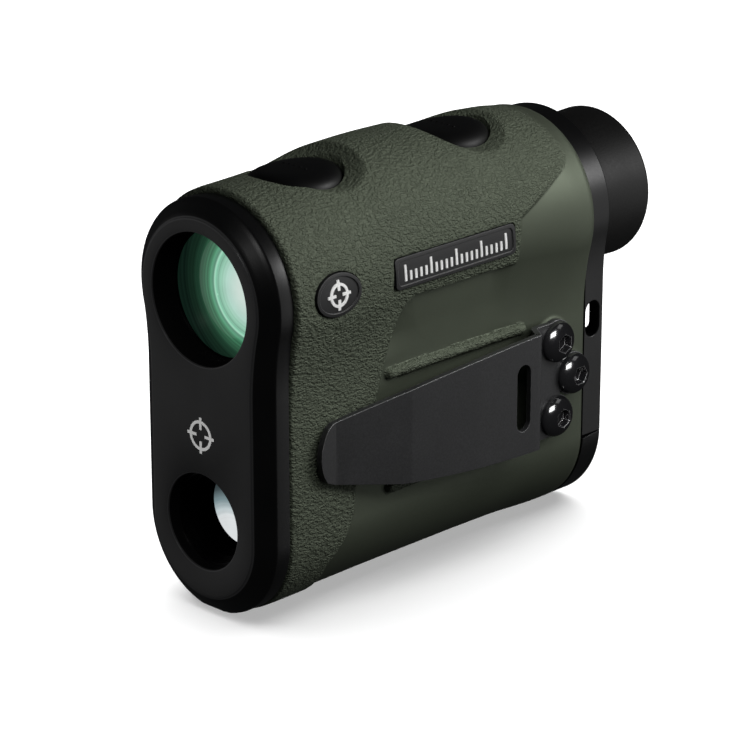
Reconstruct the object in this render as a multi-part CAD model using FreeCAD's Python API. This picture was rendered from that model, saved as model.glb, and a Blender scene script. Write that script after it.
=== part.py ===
import FreeCAD, Part
import math
import os
from FreeCAD import Vector

# Compact 6x22 laser rangefinder, millimetres, +Z up.
# The lenses face -Y, the eyepiece faces +Y and the belt clip is on the +X side.
# The origin is on the base, in the mid plane, 45 mm behind the front face.

# Body outline across X and Z: a round top over a straight waist with a round lower end
TOP_Z = 56.4            # centre of the upper round, which is the sight axis
LOW_Z = 15.2            # centre of the lower round
BLEND_R = 53.0          # hollow arc between the upper round and the waist
LASER_Z = 16.6          # axis of the laser transmitter

# Stations along Y
FACE_Y = -45.0
BEVEL_Y = -42.4         # end of the bevel round the front face
ARMOR_Y0 = -39.2
ARMOR_Y1 = 34.8
FRAME_Y1 = 39.9
EYECUP_Y1 = 54.6
GASKET_T = 0.4
HOUSING_Y0 = ARMOR_Y0 + GASKET_T
HOUSING_Y1 = ARMOR_Y1 - GASKET_T

# Outline radii as (upper round, half waist)
FACE_R = (14.0, 12.2)
BEZEL_R = (17.1, 15.7)
FRAME_R = (17.06, 15.95)
FRAME_EDGE_R = 0.4
FRAME_LIFT = 0.3        # of the upper round of the rear frame
HOUSING_R = (15.0, 14.2)
HOUSING_WALL = 1.5

# Rubber armour sections as (y, upper round, half waist, lift of the upper round)
ARMOR_SECTIONS = [
    (ARMOR_Y0, 18.0, 15.9, 0.0),
    (-36.5, 18.2, 16.0, 0.0),
    (-25.0, 18.3, 15.9, 0.3),
    (-12.5, 18.4, 15.8, 1.95),
    (-3.0, 18.4, 15.8, 2.2),
    (6.0, 18.4, 15.8, 2.05),
    (18.0, 18.4, 15.9, 1.25),
    (28.0, 18.4, 16.0, 0.5),
    (33.4, 18.2, 16.0, 0.0),
    (ARMOR_Y1, 17.6, 15.8, 0.0),
]

# Buttons: ovals in two scooped hollows across the top
BUTTON_LEN = 17.8
BUTTON_WID = 15.4
BUTTON_BASE_Z = 70.0
FRONT_BUTTON = {"y": -22.4, "top_z": 75.1, "hollow_y": -21.0, "hollow_r": 12.0, "floor_z": 72.4}
REAR_BUTTON = {"y": 13.9, "top_z": 75.3, "hollow_y": 14.9, "hollow_r": 14.4, "floor_z": 72.4}

# Name plate, badge and rib of the +X side, mirrored to the other side
PLATE = {"y": -1.8, "z": 58.28, "length": 30.0, "height": 5.65}
BADGE = {"y": -30.0, "z": 58.0, "length": 10.6, "height": 7.6}
PLATE_R = 18.62         # outer skin of the plate and badge round the sight axis
BADGE_SKIN_R = 18.5
FIELD_DEPTH = 0.2       # of the sunk field inside their borders
BORDER = 0.7
EDGE_GAP = 0.12         # between a plate and the wall of its recess
BED_R = 16.9            # floor of their recesses
TICK_COUNT = 21
TICK_PITCH = 1.25
RIBS_Z = (39.75, 18.8)
RIB_Y = (-16.2, 19.0)
RIB_WIDTH = 1.8
RIB_X = 16.9
EMBLEM_Z = 32.3

# Switches under the buttons
BUTTON_BOARD_Y = (-29.0, 21.0)
BOARD_TOP_Z = 67.2
SWITCH_TOP_Z = 68.8
SWITCH_HALF = 2.6
PLUNGER_R = 1.0
DOT_PITCH = 1.3

# Prisms, boards and the receiver
PRISM_X = 7.2
PRISM_Z = (49.0, 63.8)
CAGE_Y = (-8.0, 11.0)
CAGE_Z = (48.0, 64.8)
RECEIVER_Y = 2.0
BOARD_Z = (30.4, 31.4)

# Optics
OBJ_BORE_R = 11.57
LASER_BORE_R = 8.58
RING_Y0 = -39.6         # front of the objective's retaining ring
LENS_RIM_Y = -39.2      # front edge of the objective
LENS_JOINT_Y = -35.4     # edge of the cemented faces of its two lenses

# Eyepiece
EYE_TUBE_R = 10.3
DIOPTER_R = 11.5
DIOPTER_Y = (40.2, 48.0)

# Lanyard slot through the side and out at the rear
SLOT_X = (10.1, 13.6)
SLOT_Y = (35.2, 38.7)
SLOT_Z = (33.8, 40.4)
SLOT_EDGE_R = 0.3

# Clip, its screws and the threaded inserts
CLIP_Z = 28.7
CLIP_T = 1.1
PLATE_X = 17.2          # outer face of the screwed plate
LEAF_X = 20.2           # outer face of the leaf next to the step
LEAF_Y1 = 17.8          # where the step ends and the leaf starts
LEAF_HALF = 10.85       # half width of the leaf at the step
LEAF_TIP_Y = -33.6
CLIP_GAP = 0.02         # half the cut between the fixed and the springing part
# outer face of the leaf: a shallow slope, a bend, a steeper slope and a flared tip
LEAF_PATH = [
    (LEAF_X, 22.0), (LEAF_X, LEAF_Y1), (19.9, 3.0), (19.0, -13.5),
    (18.7, -16.0), (17.13, -29.2), (17.1, -30.2), (17.65, LEAF_TIP_Y),
]
# outer face of the plate and its step
BASE_PATH = [(PLATE_X, 35.0), (PLATE_X, 20.7), (17.6, 19.9), (19.8, 18.5), (LEAF_X, 17.7), (20.1, 14.8)]
BUTTON_HEAD_R = 3.8
BUTTON_HEAD_H = 2.2
HEX_R = 1.44            # corner radius of the 2.5 mm hexagon socket
M4_CLEAR_R = 2.2
SCREWS_YZ = [(25.85, 35.8), (30.2, 28.7), (25.85, 21.6)]
LOBE_R = 4.0
INSERT_R = 2.9
INSERT_X = (9.2, 14.2)
M4_R = 2.0

# Battery, door and hinge
BATTERY_R = 7.8
BATTERY_LEN = 27.0
TUBE_R = 9.2
TUBE_Y0 = 5.0
DOOR_Y0 = 35.0
DOOR_TOP_Z = 14.8
TONGUE_X = 10.5
TONGUE_Z = 27.0
HINGE_Y = 38.5
HINGE_Z = 1.5
HINGE_PIN_R = 0.75
EAR_R = 1.2
DOOR_GAP = 0.2
EAR_X = (4.0, 6.0)

# Screws that join the housing halves, and those of the rear frame
M2_R = 1.0
M2_HEAD_R = 1.8
M2_SINK_R = 1.9         # recess round the head
HOUSING_SCREWS_YZ = [(-34.0, 39.5), (19.0, 39.5), (-34.0, 28.2), (2.5, 27.4)]
FRAME_SCREWS_XZ = [(13.0, 22.0), (-13.0, 22.0), (13.0, 45.5), (-13.0, 45.5)]


# ---- helpers ----

def box(x, y, z):
    """A box from three (low, high) pairs."""
    size = [pair[1] - pair[0] for pair in (x, y, z)]
    return Part.makeBox(size[0], size[1], size[2], Vector(x[0], y[0], z[0]))


def cyl_x(r, x0, x1, y, z):
    return Part.makeCylinder(r, x1 - x0, Vector(x0, y, z), Vector(1, 0, 0))


def cyl_y(r, y0, y1, z, x=0.0):
    return Part.makeCylinder(r, y1 - y0, Vector(x, y0, z), Vector(0, 1, 0))


def cyl_z(r, z0, z1, x, y):
    return Part.makeCylinder(r, z1 - z0, Vector(x, y, z0), Vector(0, 0, 1))


def ring_y(r_out, r_in, y0, y1, z):
    return cyl_y(r_out, y0, y1, z).cut(cyl_y(r_in, y0 - 1, y1 + 1, z))


def turned(profile, z):
    """A solid of revolution about the line along Y at height z, from (radius, y) corners."""
    points = [Vector(r, y, z) for r, y in profile]
    face = Part.Face(Part.makePolygon(points + points[:1]))
    return face.revolve(Vector(0, 0, z), Vector(0, 1, 0), 360)


def arc(a, b, c):
    return Part.Arc(a, b, c).toShape()


def line(a, b):
    return Part.LineSegment(a, b).toShape()


def outline(radii, y, lift=0.0, grow=0.0):
    """The body outline at station y; grow moves it outwards everywhere."""
    r = radii[0] + grow
    w = radii[1] + grow
    blend = BLEND_R - grow
    top = TOP_Z + lift
    drop = math.sqrt((r + blend) ** 2 - (w + blend) ** 2)
    share = r / (r + blend)
    join = Vector(share * (w + blend), y, top - share * drop)
    foot = Vector(w, y, top - drop)
    centre = Vector(w + blend, y, top - drop)
    middle = (join - centre).normalize() + Vector(-1, 0, 0)
    middle = centre + middle.normalize() * blend
    low = Vector(w, y, LOW_Z)

    def left(p):
        return Vector(-p.x, p.y, p.z)

    edges = [
        line(low, foot),
        arc(foot, middle, join),
        arc(join, Vector(0, y, top + r), left(join)),
        arc(left(join), left(middle), left(foot)),
        line(left(foot), left(low)),
        arc(left(low), Vector(0, y, LOW_Z - w), low),
    ]
    return Part.Wire(edges)


def slab(radii, y0, y1, grow=0.0, lift=0.0):
    """The body outline as a prism from y0 to y1."""
    return Part.Face(outline(radii, y0, lift, grow)).extrude(Vector(0, y1 - y0, 0))


def on_base(shape):
    """Trims the round lower end to the flat base at z = 0."""
    return shape.common(box((-30, 30), (-60, 70), (0, 90)))


def oval_z(length, width, z0, z1, y, x=0.0):
    """An upright elliptical prism, long along Y."""
    ellipse = Part.Ellipse(Vector(x, y, z0), length / 2, width / 2)
    edge = ellipse.toShape()
    edge.rotate(Vector(x, y, z0), Vector(0, 0, 1), 90)
    return Part.Face(Part.Wire([edge])).extrude(Vector(0, 0, z1 - z0))


def lens(r, rim_front, rim_back, bulge_front, bulge_back, z):
    """A round lens along Y; a positive bulge swells outwards and a negative one is hollow."""
    def cap(rim, bulge, sign):
        radius = (r * r + bulge * bulge) / (2 * abs(bulge))
        half = math.sqrt(radius ** 2 - (r / 2) ** 2) - math.sqrt(radius ** 2 - r ** 2)
        half = math.copysign(half, bulge)
        return Vector(r / 2, rim + sign * half, z), Vector(0, rim + sign * bulge, z)
    front_mid, front_tip = cap(rim_front, bulge_front, -1)
    back_mid, back_tip = cap(rim_back, bulge_back, 1)
    front_rim = Vector(r, rim_front, z)
    back_rim = Vector(r, rim_back, z)
    edges = [
        arc(front_tip, front_mid, front_rim),
        line(front_rim, back_rim),
        arc(back_rim, back_mid, back_tip),
        line(back_tip, front_tip),
    ]
    return Part.Face(Part.Wire(edges)).revolve(Vector(0, 0, z), Vector(0, 1, 0), 360)


def o_ring(r_mid, r_cord, y, z):
    return Part.makeTorus(r_mid, r_cord, Vector(0, y, z), Vector(0, 1, 0))


def mirrored(shape):
    return shape.mirror(Vector(0, 0, 0), Vector(1, 0, 0))


def both_sides(shape):
    return shape.fuse(mirrored(shape))


def both_sides_group(shape):
    """The shape and its mirror image as separate solids of one node."""
    return Part.makeCompound(shape.Solids + mirrored(shape).Solids)


def group(shapes):
    return Part.makeCompound(shapes)


def stadium_x(length, height, x0, x1, y, z):
    """A prism along X with round ends, long along Y."""
    r = height / 2
    reach = length / 2 - r
    body = box((x0, x1), (y - reach, y + reach), (z - r, z + r))
    return body.fuse([cyl_x(r, x0, x1, y - reach, z), cyl_x(r, x0, x1, y + reach, z)])


def oval_x(length, height, x0, x1, y, z):
    """An elliptical prism along X, long along Y."""
    ellipse = Part.Ellipse(Vector(x0, y, z), length / 2, height / 2).toShape()
    ellipse.rotate(Vector(x0, y, z), Vector(1, 1, 1), 120)
    return Part.Face(Part.Wire([ellipse])).extrude(Vector(x1 - x0, 0, 0))


def rounded(shape, radius, picked):
    """Fillets the edges whose centre passes the test."""
    edges = [e for e in shape.Edges if picked(e.CenterOfMass)]
    return shape.makeFillet(radius, edges)


# ---- front ----

def front_bezel():
    face = outline(FACE_R, FACE_Y)
    edge = outline(BEZEL_R, BEVEL_Y)
    front = Part.makeLoft([face, edge], True, True)
    body = front.fuse(slab(BEZEL_R, BEVEL_Y, ARMOR_Y0)).removeSplitter()
    body = body.cut(cyl_y(OBJ_BORE_R, FACE_Y - 1, ARMOR_Y0 + 1, TOP_Z))
    body = body.cut(cyl_y(11.95, RING_Y0, ARMOR_Y0 + 1, TOP_Z))
    body = body.cut(cyl_y(LASER_BORE_R, FACE_Y - 1, ARMOR_Y0 + 1, LASER_Z))
    body = on_base(body)
    return body.cut(front_emblem())


def reticle(radius, stroke, y0, y1, z):
    """A plain aiming mark: a ring with four short bars and a dot."""
    shape = ring_y(radius, radius - stroke, y0, y1, z)
    bars = []
    for turn in range(4):
        bar = box((radius * 0.38, radius + stroke), (y0, y1), (z - stroke / 2, z + stroke / 2))
        bar.rotate(Vector(0, 0, z), Vector(0, 1, 0), 90 * turn)
        bars.append(bar)
    return shape.fuse(bars).removeSplitter()


def front_emblem():
    return reticle(2.7, 0.55, FACE_Y, FACE_Y + 0.3, EMBLEM_Z)


def front_gasket():
    ring = slab(HOUSING_R, ARMOR_Y0, HOUSING_Y0, -0.1)
    ring = ring.cut(slab(HOUSING_R, ARMOR_Y0 - 1, HOUSING_Y0 + 1, -1.3))
    return ring


# ---- armour and what sits in it ----

def hollow(button):
    """The scooped hollow across the top round a button."""
    z = button["floor_z"] + button["hollow_r"]
    return cyl_x(button["hollow_r"], -15, 15, button["hollow_y"], z)


def shell_piece(region, r_in, r_out):
    """The part of a curved skin round the sight axis that lies in the region."""
    return region.common(ring_y(r_out, r_in, -50, 50, TOP_Z))


def plate_region(grow=0.0):
    length = PLATE["length"] + 2 * grow
    height = PLATE["height"] + 2 * grow
    y = PLATE["y"]
    z = PLATE["z"]
    region = box((10, 25), (y - length / 2, y + length / 2), (z - height / 2, z + height / 2))
    return rounded(region, 0.9, lambda c: abs(abs(c.y - y) - length / 2) < 0.01 and 11 < c.x < 24)


def badge_region(grow=0.0):
    length = BADGE["length"] + 2 * grow
    height = BADGE["height"] + 2 * grow
    return oval_x(length, height, 10, 25, BADGE["y"], BADGE["z"])


def clip_pads(x0, x1):
    """Three joined round lobes under the clip's plate."""
    lobes = [cyl_x(LOBE_R, x0, x1, y, z) for y, z in SCREWS_YZ]
    web = box((x0, x1), (22.6, 27.0), (CLIP_Z - 9.0, CLIP_Z + 9.0))
    return web.fuse(lobes).removeSplitter()


def rib(z):
    length = RIB_Y[1] - RIB_Y[0]
    return stadium_x(length, RIB_WIDTH, 14.6, RIB_X, sum(RIB_Y) / 2, z)


def armor():
    wires = [outline((r, w), y, lift) for y, r, w, lift in ARMOR_SECTIONS]
    body = Part.makeLoft(wires, True, False)
    sides = clip_pads(14.6, PLATE_X - CLIP_T).fuse([rib(z) for z in RIBS_Z])
    body = body.fuse(both_sides(sides))
    body = body.cut(slab(HOUSING_R, ARMOR_Y0 - 1, ARMOR_Y1 + 1))
    for button in (FRONT_BUTTON, REAR_BUTTON):
        body = body.cut(hollow(button))
        body = body.cut(oval_z(BUTTON_LEN + 0.3, BUTTON_WID + 0.3, 64, 80, button["y"]))
    for region in (plate_region(), badge_region()):
        bed = region.cut(cyl_y(BED_R, -50, 50, TOP_Z))
        body = body.cut(both_sides(bed))
    for y, z in SCREWS_YZ:
        body = body.cut(cyl_x(2.4, -25, 25, y, z))
    return on_base(body)


def name_plate():
    """A curved plate with a raised border."""
    plate = shell_piece(plate_region(-EDGE_GAP), BED_R, PLATE_R)
    field = shell_piece(plate_region(-BORDER), PLATE_R - FIELD_DEPTH, PLATE_R + 1)
    return plate.cut(field)


def scale_ticks():
    """Raised scale marks in place of lettering, longer at every fifth."""
    floor = PLATE_R - FIELD_DEPTH
    ticks = []
    for index in range(TICK_COUNT):
        height = 2.8 if index % 5 == 0 else 1.6
        y = PLATE["y"] + (index - (TICK_COUNT - 1) / 2) * TICK_PITCH
        z0 = PLATE["z"] - 1.4
        block = box((10, 25), (y - 0.2, y + 0.2), (z0, z0 + height))
        ticks.append(shell_piece(block, floor, floor + FIELD_DEPTH))
    return group(ticks)


def badge():
    plate = shell_piece(badge_region(-EDGE_GAP), BED_R, BADGE_SKIN_R)
    field = shell_piece(badge_region(-BORDER), BADGE_SKIN_R - FIELD_DEPTH, BADGE_SKIN_R + 1)
    return plate.cut(field)


def badge_mark():
    mark = reticle(2.1, 0.5, -25, -10, BADGE["z"])
    mark.rotate(Vector(0, 0, BADGE["z"]), Vector(0, 0, 1), 90)
    mark.translate(Vector(0, BADGE["y"], 0))
    return shell_piece(mark, BADGE_SKIN_R - FIELD_DEPTH, BADGE_SKIN_R)


# ---- housing ----

def screw_bosses(x0, x1):
    return [cyl_x(2.0, x0, x1, y, z) for y, z in HOUSING_SCREWS_YZ]


def hinge_ears():
    ears = []
    for side in (-1, 1):
        x = sorted((side * EAR_X[0], side * EAR_X[1]))
        web = box(x, (33.0, 36.2), (2.6, 4.4))
        arm = box(x, (DOOR_Y0, HINGE_Y), (HINGE_Z - EAR_R, HINGE_Z + EAR_R))
        ears.append(web.fuse([arm, cyl_x(EAR_R, x[0], x[1], HINGE_Y, HINGE_Z)]))
    return ears


def housing_whole():
    """Both halves of the hard shell before it is split at the mid plane."""
    shell = slab(HOUSING_R, HOUSING_Y0, HOUSING_Y1)
    cavity = slab(HOUSING_R, HOUSING_Y0 + 1.8, HOUSING_Y1 - 1.6, -HOUSING_WALL)
    shell = shell.cut(cavity)
    anchors = [cyl_y(2.0, 29.2, HOUSING_Y1, z, x) for x, z in FRAME_SCREWS_XZ]
    seats = [cyl_x(4.0, 8.6, INSERT_X[1], y, z) for y, z in SCREWS_YZ]
    seats = seats + [mirrored(seat) for seat in seats]
    inside = slab(HOUSING_R, HOUSING_Y0, HOUSING_Y1)
    shell = shell.fuse(Part.makeCompound(anchors + seats + screw_bosses(-14, 14)).common(inside))
    shell = shell.fuse(hinge_ears())
    holes = [
        cyl_y(13.0, HOUSING_Y0 - 1, HOUSING_Y0 + 3, TOP_Z),
        cyl_y(9.3, HOUSING_Y0 - 1, HOUSING_Y0 + 3, LASER_Z),
        cyl_y(EYE_TUBE_R, HOUSING_Y1 - 3, HOUSING_Y1 + 1, TOP_Z),
        cyl_y(TUBE_R, TUBE_Y0, HOUSING_Y1 + 1, LOW_Z),
        cyl_x(HINGE_PIN_R, -12, 12, HINGE_Y, HINGE_Z),
    ]
    for button in (FRONT_BUTTON, REAR_BUTTON):
        holes.append(oval_z(BUTTON_LEN + 0.3, BUTTON_WID + 0.3, 66, 80, button["y"]))
    for y, z in SCREWS_YZ:
        holes.append(cyl_x(INSERT_R, INSERT_X[0], 15, y, z))
        holes.append(cyl_x(INSERT_R, -15, -INSERT_X[0], y, z))
    for x, z in FRAME_SCREWS_XZ:
        holes.append(cyl_y(M2_R, 30.0, HOUSING_Y1 + 1, z, x))
    for y, z in HOUSING_SCREWS_YZ:
        holes.append(cyl_x(M2_R, -15, 7, y, z))
        holes.append(cyl_x(M2_SINK_R, -15, -12.6, y, z))
    return shell.cut(holes)


def housing_left():
    return housing_whole().common(box((0, 30), (-60, 60), (0, 90)))


def housing_right():
    return housing_whole().common(box((-30, 0), (-60, 60), (0, 90)))


def housing_screws():
    screws = []
    for y, z in HOUSING_SCREWS_YZ:
        head = cyl_x(M2_SINK_R, -14.0, -12.6, y, z)
        head = head.cut(box((-14.5, -13.4), (y - 1.3, y + 1.3), (z - 0.2, z + 0.2)))
        head = head.cut(box((-14.5, -13.4), (y - 0.2, y + 0.2), (z - 1.3, z + 1.3)))
        screws.append(head.fuse(cyl_x(M2_R, -12.7, 6.0, y, z)))
    return group(screws)


def insert(y, z):
    body = cyl_x(INSERT_R, INSERT_X[0], INSERT_X[1], y, z)
    return body.cut(cyl_x(M4_R, INSERT_X[0] - 1, INSERT_X[1] + 1, y, z))


def inserts():
    """Brass threaded inserts of the +X side."""
    return group([insert(y, z) for y, z in SCREWS_YZ])


# ---- buttons and switches ----

def oval_wire(inset, y, z):
    ellipse = Part.Ellipse(Vector(0, y, z), BUTTON_LEN / 2 - inset, BUTTON_WID / 2 - inset).toShape()
    ellipse.rotate(Vector(0, y, z), Vector(0, 0, 1), 90)
    return Part.Wire([ellipse])


def button(place):
    """An oval rubber key with a soft shoulder, a domed top, moulded dots and a stem."""
    top = place["top_z"]
    y = place["y"]
    steps = [(BUTTON_BASE_Z, 0.0), (top - 2.3, 0.0), (top - 1.4, 0.2)]
    steps += [(top - 0.7, 0.85), (top - 0.25, 2.0), (top, 4.2)]
    body = Part.makeLoft([oval_wire(inset, y, z) for z, inset in steps], True, False)
    dots = [cyl_z(0.3, top - 0.5, top + 0.1, x * DOT_PITCH, y) for x in (-2, -1, 0, 1, 2)]
    return body.fuse(dots + [cyl_z(1.6, SWITCH_TOP_Z + 0.7, BUTTON_BASE_Z + 1, 0, y)])


def front_button():
    return button(FRONT_BUTTON)


def rear_button():
    return button(REAR_BUTTON)


def switch(y):
    body = box((-SWITCH_HALF, SWITCH_HALF), (y - SWITCH_HALF, y + SWITCH_HALF), (BOARD_TOP_Z, SWITCH_TOP_Z))
    return body.cut(cyl_z(PLUNGER_R + 0.05, BOARD_TOP_Z + 0.3, SWITCH_TOP_Z + 1, 0, y))


def switches():
    return group([switch(FRONT_BUTTON["y"]), switch(REAR_BUTTON["y"])])


def switch_plunger(y):
    return cyl_z(PLUNGER_R, SWITCH_TOP_Z - 0.7, SWITCH_TOP_Z + 0.7, 0, y)


def button_board():
    return box((-6, 6), BUTTON_BOARD_Y, (BOARD_TOP_Z - 0.8, BOARD_TOP_Z))


# ---- objective and prisms ----

def barrel_blank():
    outer = [(13.0, ARMOR_Y0), (13.0, -30.6), (9.8, -30.2), (9.6, -8.0)]
    inner = [(8.2, -8.0), (9.0, -30.9), (10.6, -31.3), (11.9, -31.3), (11.9, ARMOR_Y0)]
    return turned(outer + inner, TOP_Z)


def objective_front_lens():
    return lens(11.85, LENS_RIM_Y, LENS_JOINT_Y, 1.4, 1.2, TOP_Z)


def objective_rear_lens():
    return lens(11.85, LENS_JOINT_Y, -31.4, -1.2, 0.4, TOP_Z)


def objective_retaining_ring():
    profile = [(11.15, RING_Y0), (11.85, RING_Y0), (11.85, LENS_RIM_Y), (11.25, LENS_RIM_Y)]
    return turned(profile, TOP_Z)


def objective_o_ring():
    return o_ring(12.45, 0.35, -38.2, TOP_Z)


def objective_barrel():
    """The barrel with the groove that holds its o-ring against the housing."""
    return barrel_blank().cut(objective_o_ring())


def prism(corners):
    points = [Vector(-PRISM_X, y, z) for y, z in corners]
    face = Part.Face(Part.makePolygon(points + points[:1]))
    return face.extrude(Vector(2 * PRISM_X, 0, 0))


def front_prism():
    low, high = PRISM_Z
    return prism([(-7.2, low), (-7.2, 60.5), (-3.4, high), (2.6, low)])


def roof_prism():
    low, high = PRISM_Z
    body = prism([(3.1, low), (-2.9, high), (4.5, high), (9.8, 60.4), (9.8, 52.4), (7.4, low)])
    for side in (-1, 1):
        wedge = box((0, 12), (-10, 14), (0, 12))
        wedge.rotate(Vector(0, 0, 0), Vector(0, 1, 0), -45)
        wedge.translate(Vector(side * 9.6, 0, high - 5.0))
        body = body.cut(wedge)
    return body


def prism_cage():
    body = box((-8.6, 8.6), CAGE_Y, CAGE_Z)
    body = body.cut(box((-7.25, 7.25), (CAGE_Y[0] + 0.7, CAGE_Y[1] - 0.7), (48.9, 63.9)))
    body = body.cut(cyl_y(6.8, CAGE_Y[0] - 1, CAGE_Y[1] + 1, TOP_Z))
    body = body.cut(cyl_z(2.6, CAGE_Z[0] - 1, PRISM_Z[0], 0, RECEIVER_Y))
    return body


def receiver():
    """The photodiode in its round can, under the prisms."""
    can = cyl_z(2.7, 44.2, 47.4, 0, RECEIVER_Y)
    return can.fuse(cyl_z(3.3, 43.6, 44.4, 0, RECEIVER_Y))


def receiver_board():
    return box((-7, 7), (-6, 10), (42.8, 43.6))


# ---- laser transmitter ----

def laser_tube():
    outer = [(9.3, ARMOR_Y0), (9.3, -32.0), (8.2, -31.0), (4.6, -6.0), (4.6, 2.0)]
    inner = [(3.0, 2.0), (3.0, -6.0), (7.0, -31.0), (7.0, -31.8), (8.5, -31.8), (8.5, ARMOR_Y0)]
    return turned(outer + inner, LASER_Z)


def laser_retaining_ring():
    """A stepped ring, narrower at each step towards the lens."""
    profile = [(8.5, -42.6), (8.5, -35.65), (6.6, -36.1), (6.6, -38.4)]
    profile = profile + [(7.3, -38.4), (7.3, -40.6), (8.0, -40.6), (8.0, -42.6)]
    return turned(profile, LASER_Z)


def laser_lens():
    return lens(8.45, -35.6, -32.2, 0.9, 0.9, LASER_Z)


def laser_diode():
    return cyl_y(2.8, -1.0, 2.2, LASER_Z).fuse(cyl_y(4.6, 2.0, 3.0, LASER_Z))


def laser_board():
    return cyl_y(7.0, 3.0, 4.0, LASER_Z)


# ---- eyepiece ----

def display_glass():
    return cyl_y(7.4, 18.0, 19.6, TOP_Z)


def display_mount():
    return turned([(6.6, 17.0), (10.0, 17.0), (10.0, 22.0), (7.4, 22.0), (7.4, 18.0), (6.6, 18.0)], TOP_Z)


def eyepiece_tube():
    r = EYE_TUBE_R
    outer = [(r, 46.0), (r, 32.8), (12.4, 32.8), (12.4, 30.8), (r, 30.8), (r, 23.0)]
    inner = [(8.0, 23.0), (8.0, 24.5), (9.3, 24.5), (9.3, 46.0)]
    return turned(outer + inner, TOP_Z)


def eyepiece_cell():
    outer = [(9.22, 44.8), (9.22, 31.0), (7.2, 31.0), (7.2, 32.0)]
    inner = [(8.2, 32.0), (8.2, 37.0), (7.6, 37.0), (7.6, 39.4), (8.6, 39.4), (8.6, 44.8)]
    return turned(outer + inner, TOP_Z)


def field_lens():
    return lens(8.2, 32.2, 35.6, 0.3, 1.1, TOP_Z)


def eye_lens():
    return lens(8.6, 39.8, 43.8, 1.2, 0.7, TOP_Z)


def diopter_ring():
    y0, y1 = DIOPTER_Y
    bore = EYE_TUBE_R + 0.08
    outer = [(DIOPTER_R, y1), (DIOPTER_R, y0), (bore, y0), (bore, 46.4)]
    inner = [(8.9, 46.4), (8.9, 46.8), (9.8, y1)]
    body = turned(outer + inner, TOP_Z)
    notches = []
    for index in range(12):
        notch = box((11.1, 12), (40.0, 42.0), (TOP_Z - 0.5, TOP_Z + 0.5))
        notch.rotate(Vector(0, 0, TOP_Z), Vector(0, 1, 0), 30 * index)
        notches.append(notch)
    return body.cut(notches)


def eyecup():
    """A smooth rubber sleeve, a little wider at its open end, with a round lip."""
    y0 = FRAME_Y1 + 0.3
    outer = [(13.6, y0), (14.1, EYECUP_Y1), (11.9, EYECUP_Y1)]
    cup = turned(outer + [(DIOPTER_R, DIOPTER_Y[1]), (DIOPTER_R, y0)], TOP_Z)
    return rounded(cup, 0.8, lambda c: c.y > EYECUP_Y1 - 0.1)


# ---- rear frame and battery ----

def rear_gasket():
    ring = slab(HOUSING_R, HOUSING_Y1, ARMOR_Y1, -0.1)
    ring = ring.cut(slab(HOUSING_R, HOUSING_Y1 - 1, ARMOR_Y1 + 1, -1.3))
    ring = ring.cut([cyl_y(1.1, 30, 40, z, x) for x, z in FRAME_SCREWS_XZ])
    return ring.cut(box((-EAR_X[1] - 0.2, EAR_X[1] + 0.2), (30, 40), (0, 4.6)))


def lanyard_slot():
    """A slot with round ends that goes in at the side and turns out at the rear."""
    r = (SLOT_Y[1] - SLOT_Y[0]) / 2
    y = SLOT_Y[0] + r
    x = SLOT_X[1] - r
    straight = (SLOT_Z[0] + r, SLOT_Z[1] - r)
    side = box((x, 20), SLOT_Y, straight)
    rear = box(SLOT_X, (y, 45), straight)
    ends = [cyl_x(r, x, 20, y, z) for z in straight] + [cyl_y(r, y, 45, z, x) for z in straight]
    return side.fuse([rear] + ends)


def on_slot_rim(point):
    """True for a point on the rim of the lanyard slot in the side face."""
    inside_y = SLOT_Y[0] - 0.01 < point.y < SLOT_Y[1] + 0.01
    inside_z = SLOT_Z[0] - 0.01 < point.z < SLOT_Z[1] + 0.01
    return point.x > SLOT_X[1] + 1 and inside_y and inside_z


def rear_frame():
    body = slab(FRAME_R, ARMOR_Y1, FRAME_Y1, 0.0, FRAME_LIFT)
    body = rounded(body, FRAME_EDGE_R, lambda c: c.y > FRAME_Y1 - 0.01)
    body = body.cut(cyl_y(EYE_TUBE_R, ARMOR_Y1 - 1, FRAME_Y1 + 1, TOP_Z))
    body = body.cut(box((-30, 30), (30, 50), (-5, DOOR_TOP_Z + DOOR_GAP)))
    body = body.cut(box((-TONGUE_X - DOOR_GAP, TONGUE_X + DOOR_GAP), (30, 50), (0, TONGUE_Z + DOOR_GAP)))
    body = body.cut(lanyard_slot())
    body = rounded(body, SLOT_EDGE_R, on_slot_rim)
    for x, z in FRAME_SCREWS_XZ:
        body = body.cut(cyl_y(1.1, 30, 45, z, x))
        body = body.cut(cyl_y(M2_SINK_R, FRAME_Y1 - 1.6, 45, z, x))
    return body


def rear_frame_screws():
    screws = []
    for x, z in FRAME_SCREWS_XZ:
        head = cyl_y(M2_HEAD_R, FRAME_Y1 - 1.6, FRAME_Y1 - 0.3, z, x)
        head = head.cut(box((x - 1.2, x + 1.2), (FRAME_Y1 - 1.0, 45), (z - 0.22, z + 0.22)))
        head = head.cut(box((x - 0.22, x + 0.22), (FRAME_Y1 - 1.0, 45), (z - 1.2, z + 1.2)))
        screws.append(head.fuse(cyl_y(M2_R, 30.4, FRAME_Y1 - 1.5, z, x)))
    return group(screws)


def sloped_block(half_x, top_z):
    """A block whose top falls towards the front, so it swings clear of the frame."""
    corners = [(DOOR_Y0, -2), (FRAME_Y1, -2), (FRAME_Y1, top_z), (DOOR_Y0, top_z - 0.5)]
    points = [Vector(-half_x, y, z) for y, z in corners]
    face = Part.Face(Part.makePolygon(points + points[:1]))
    return face.extrude(Vector(2 * half_x, 0, 0))


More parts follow.
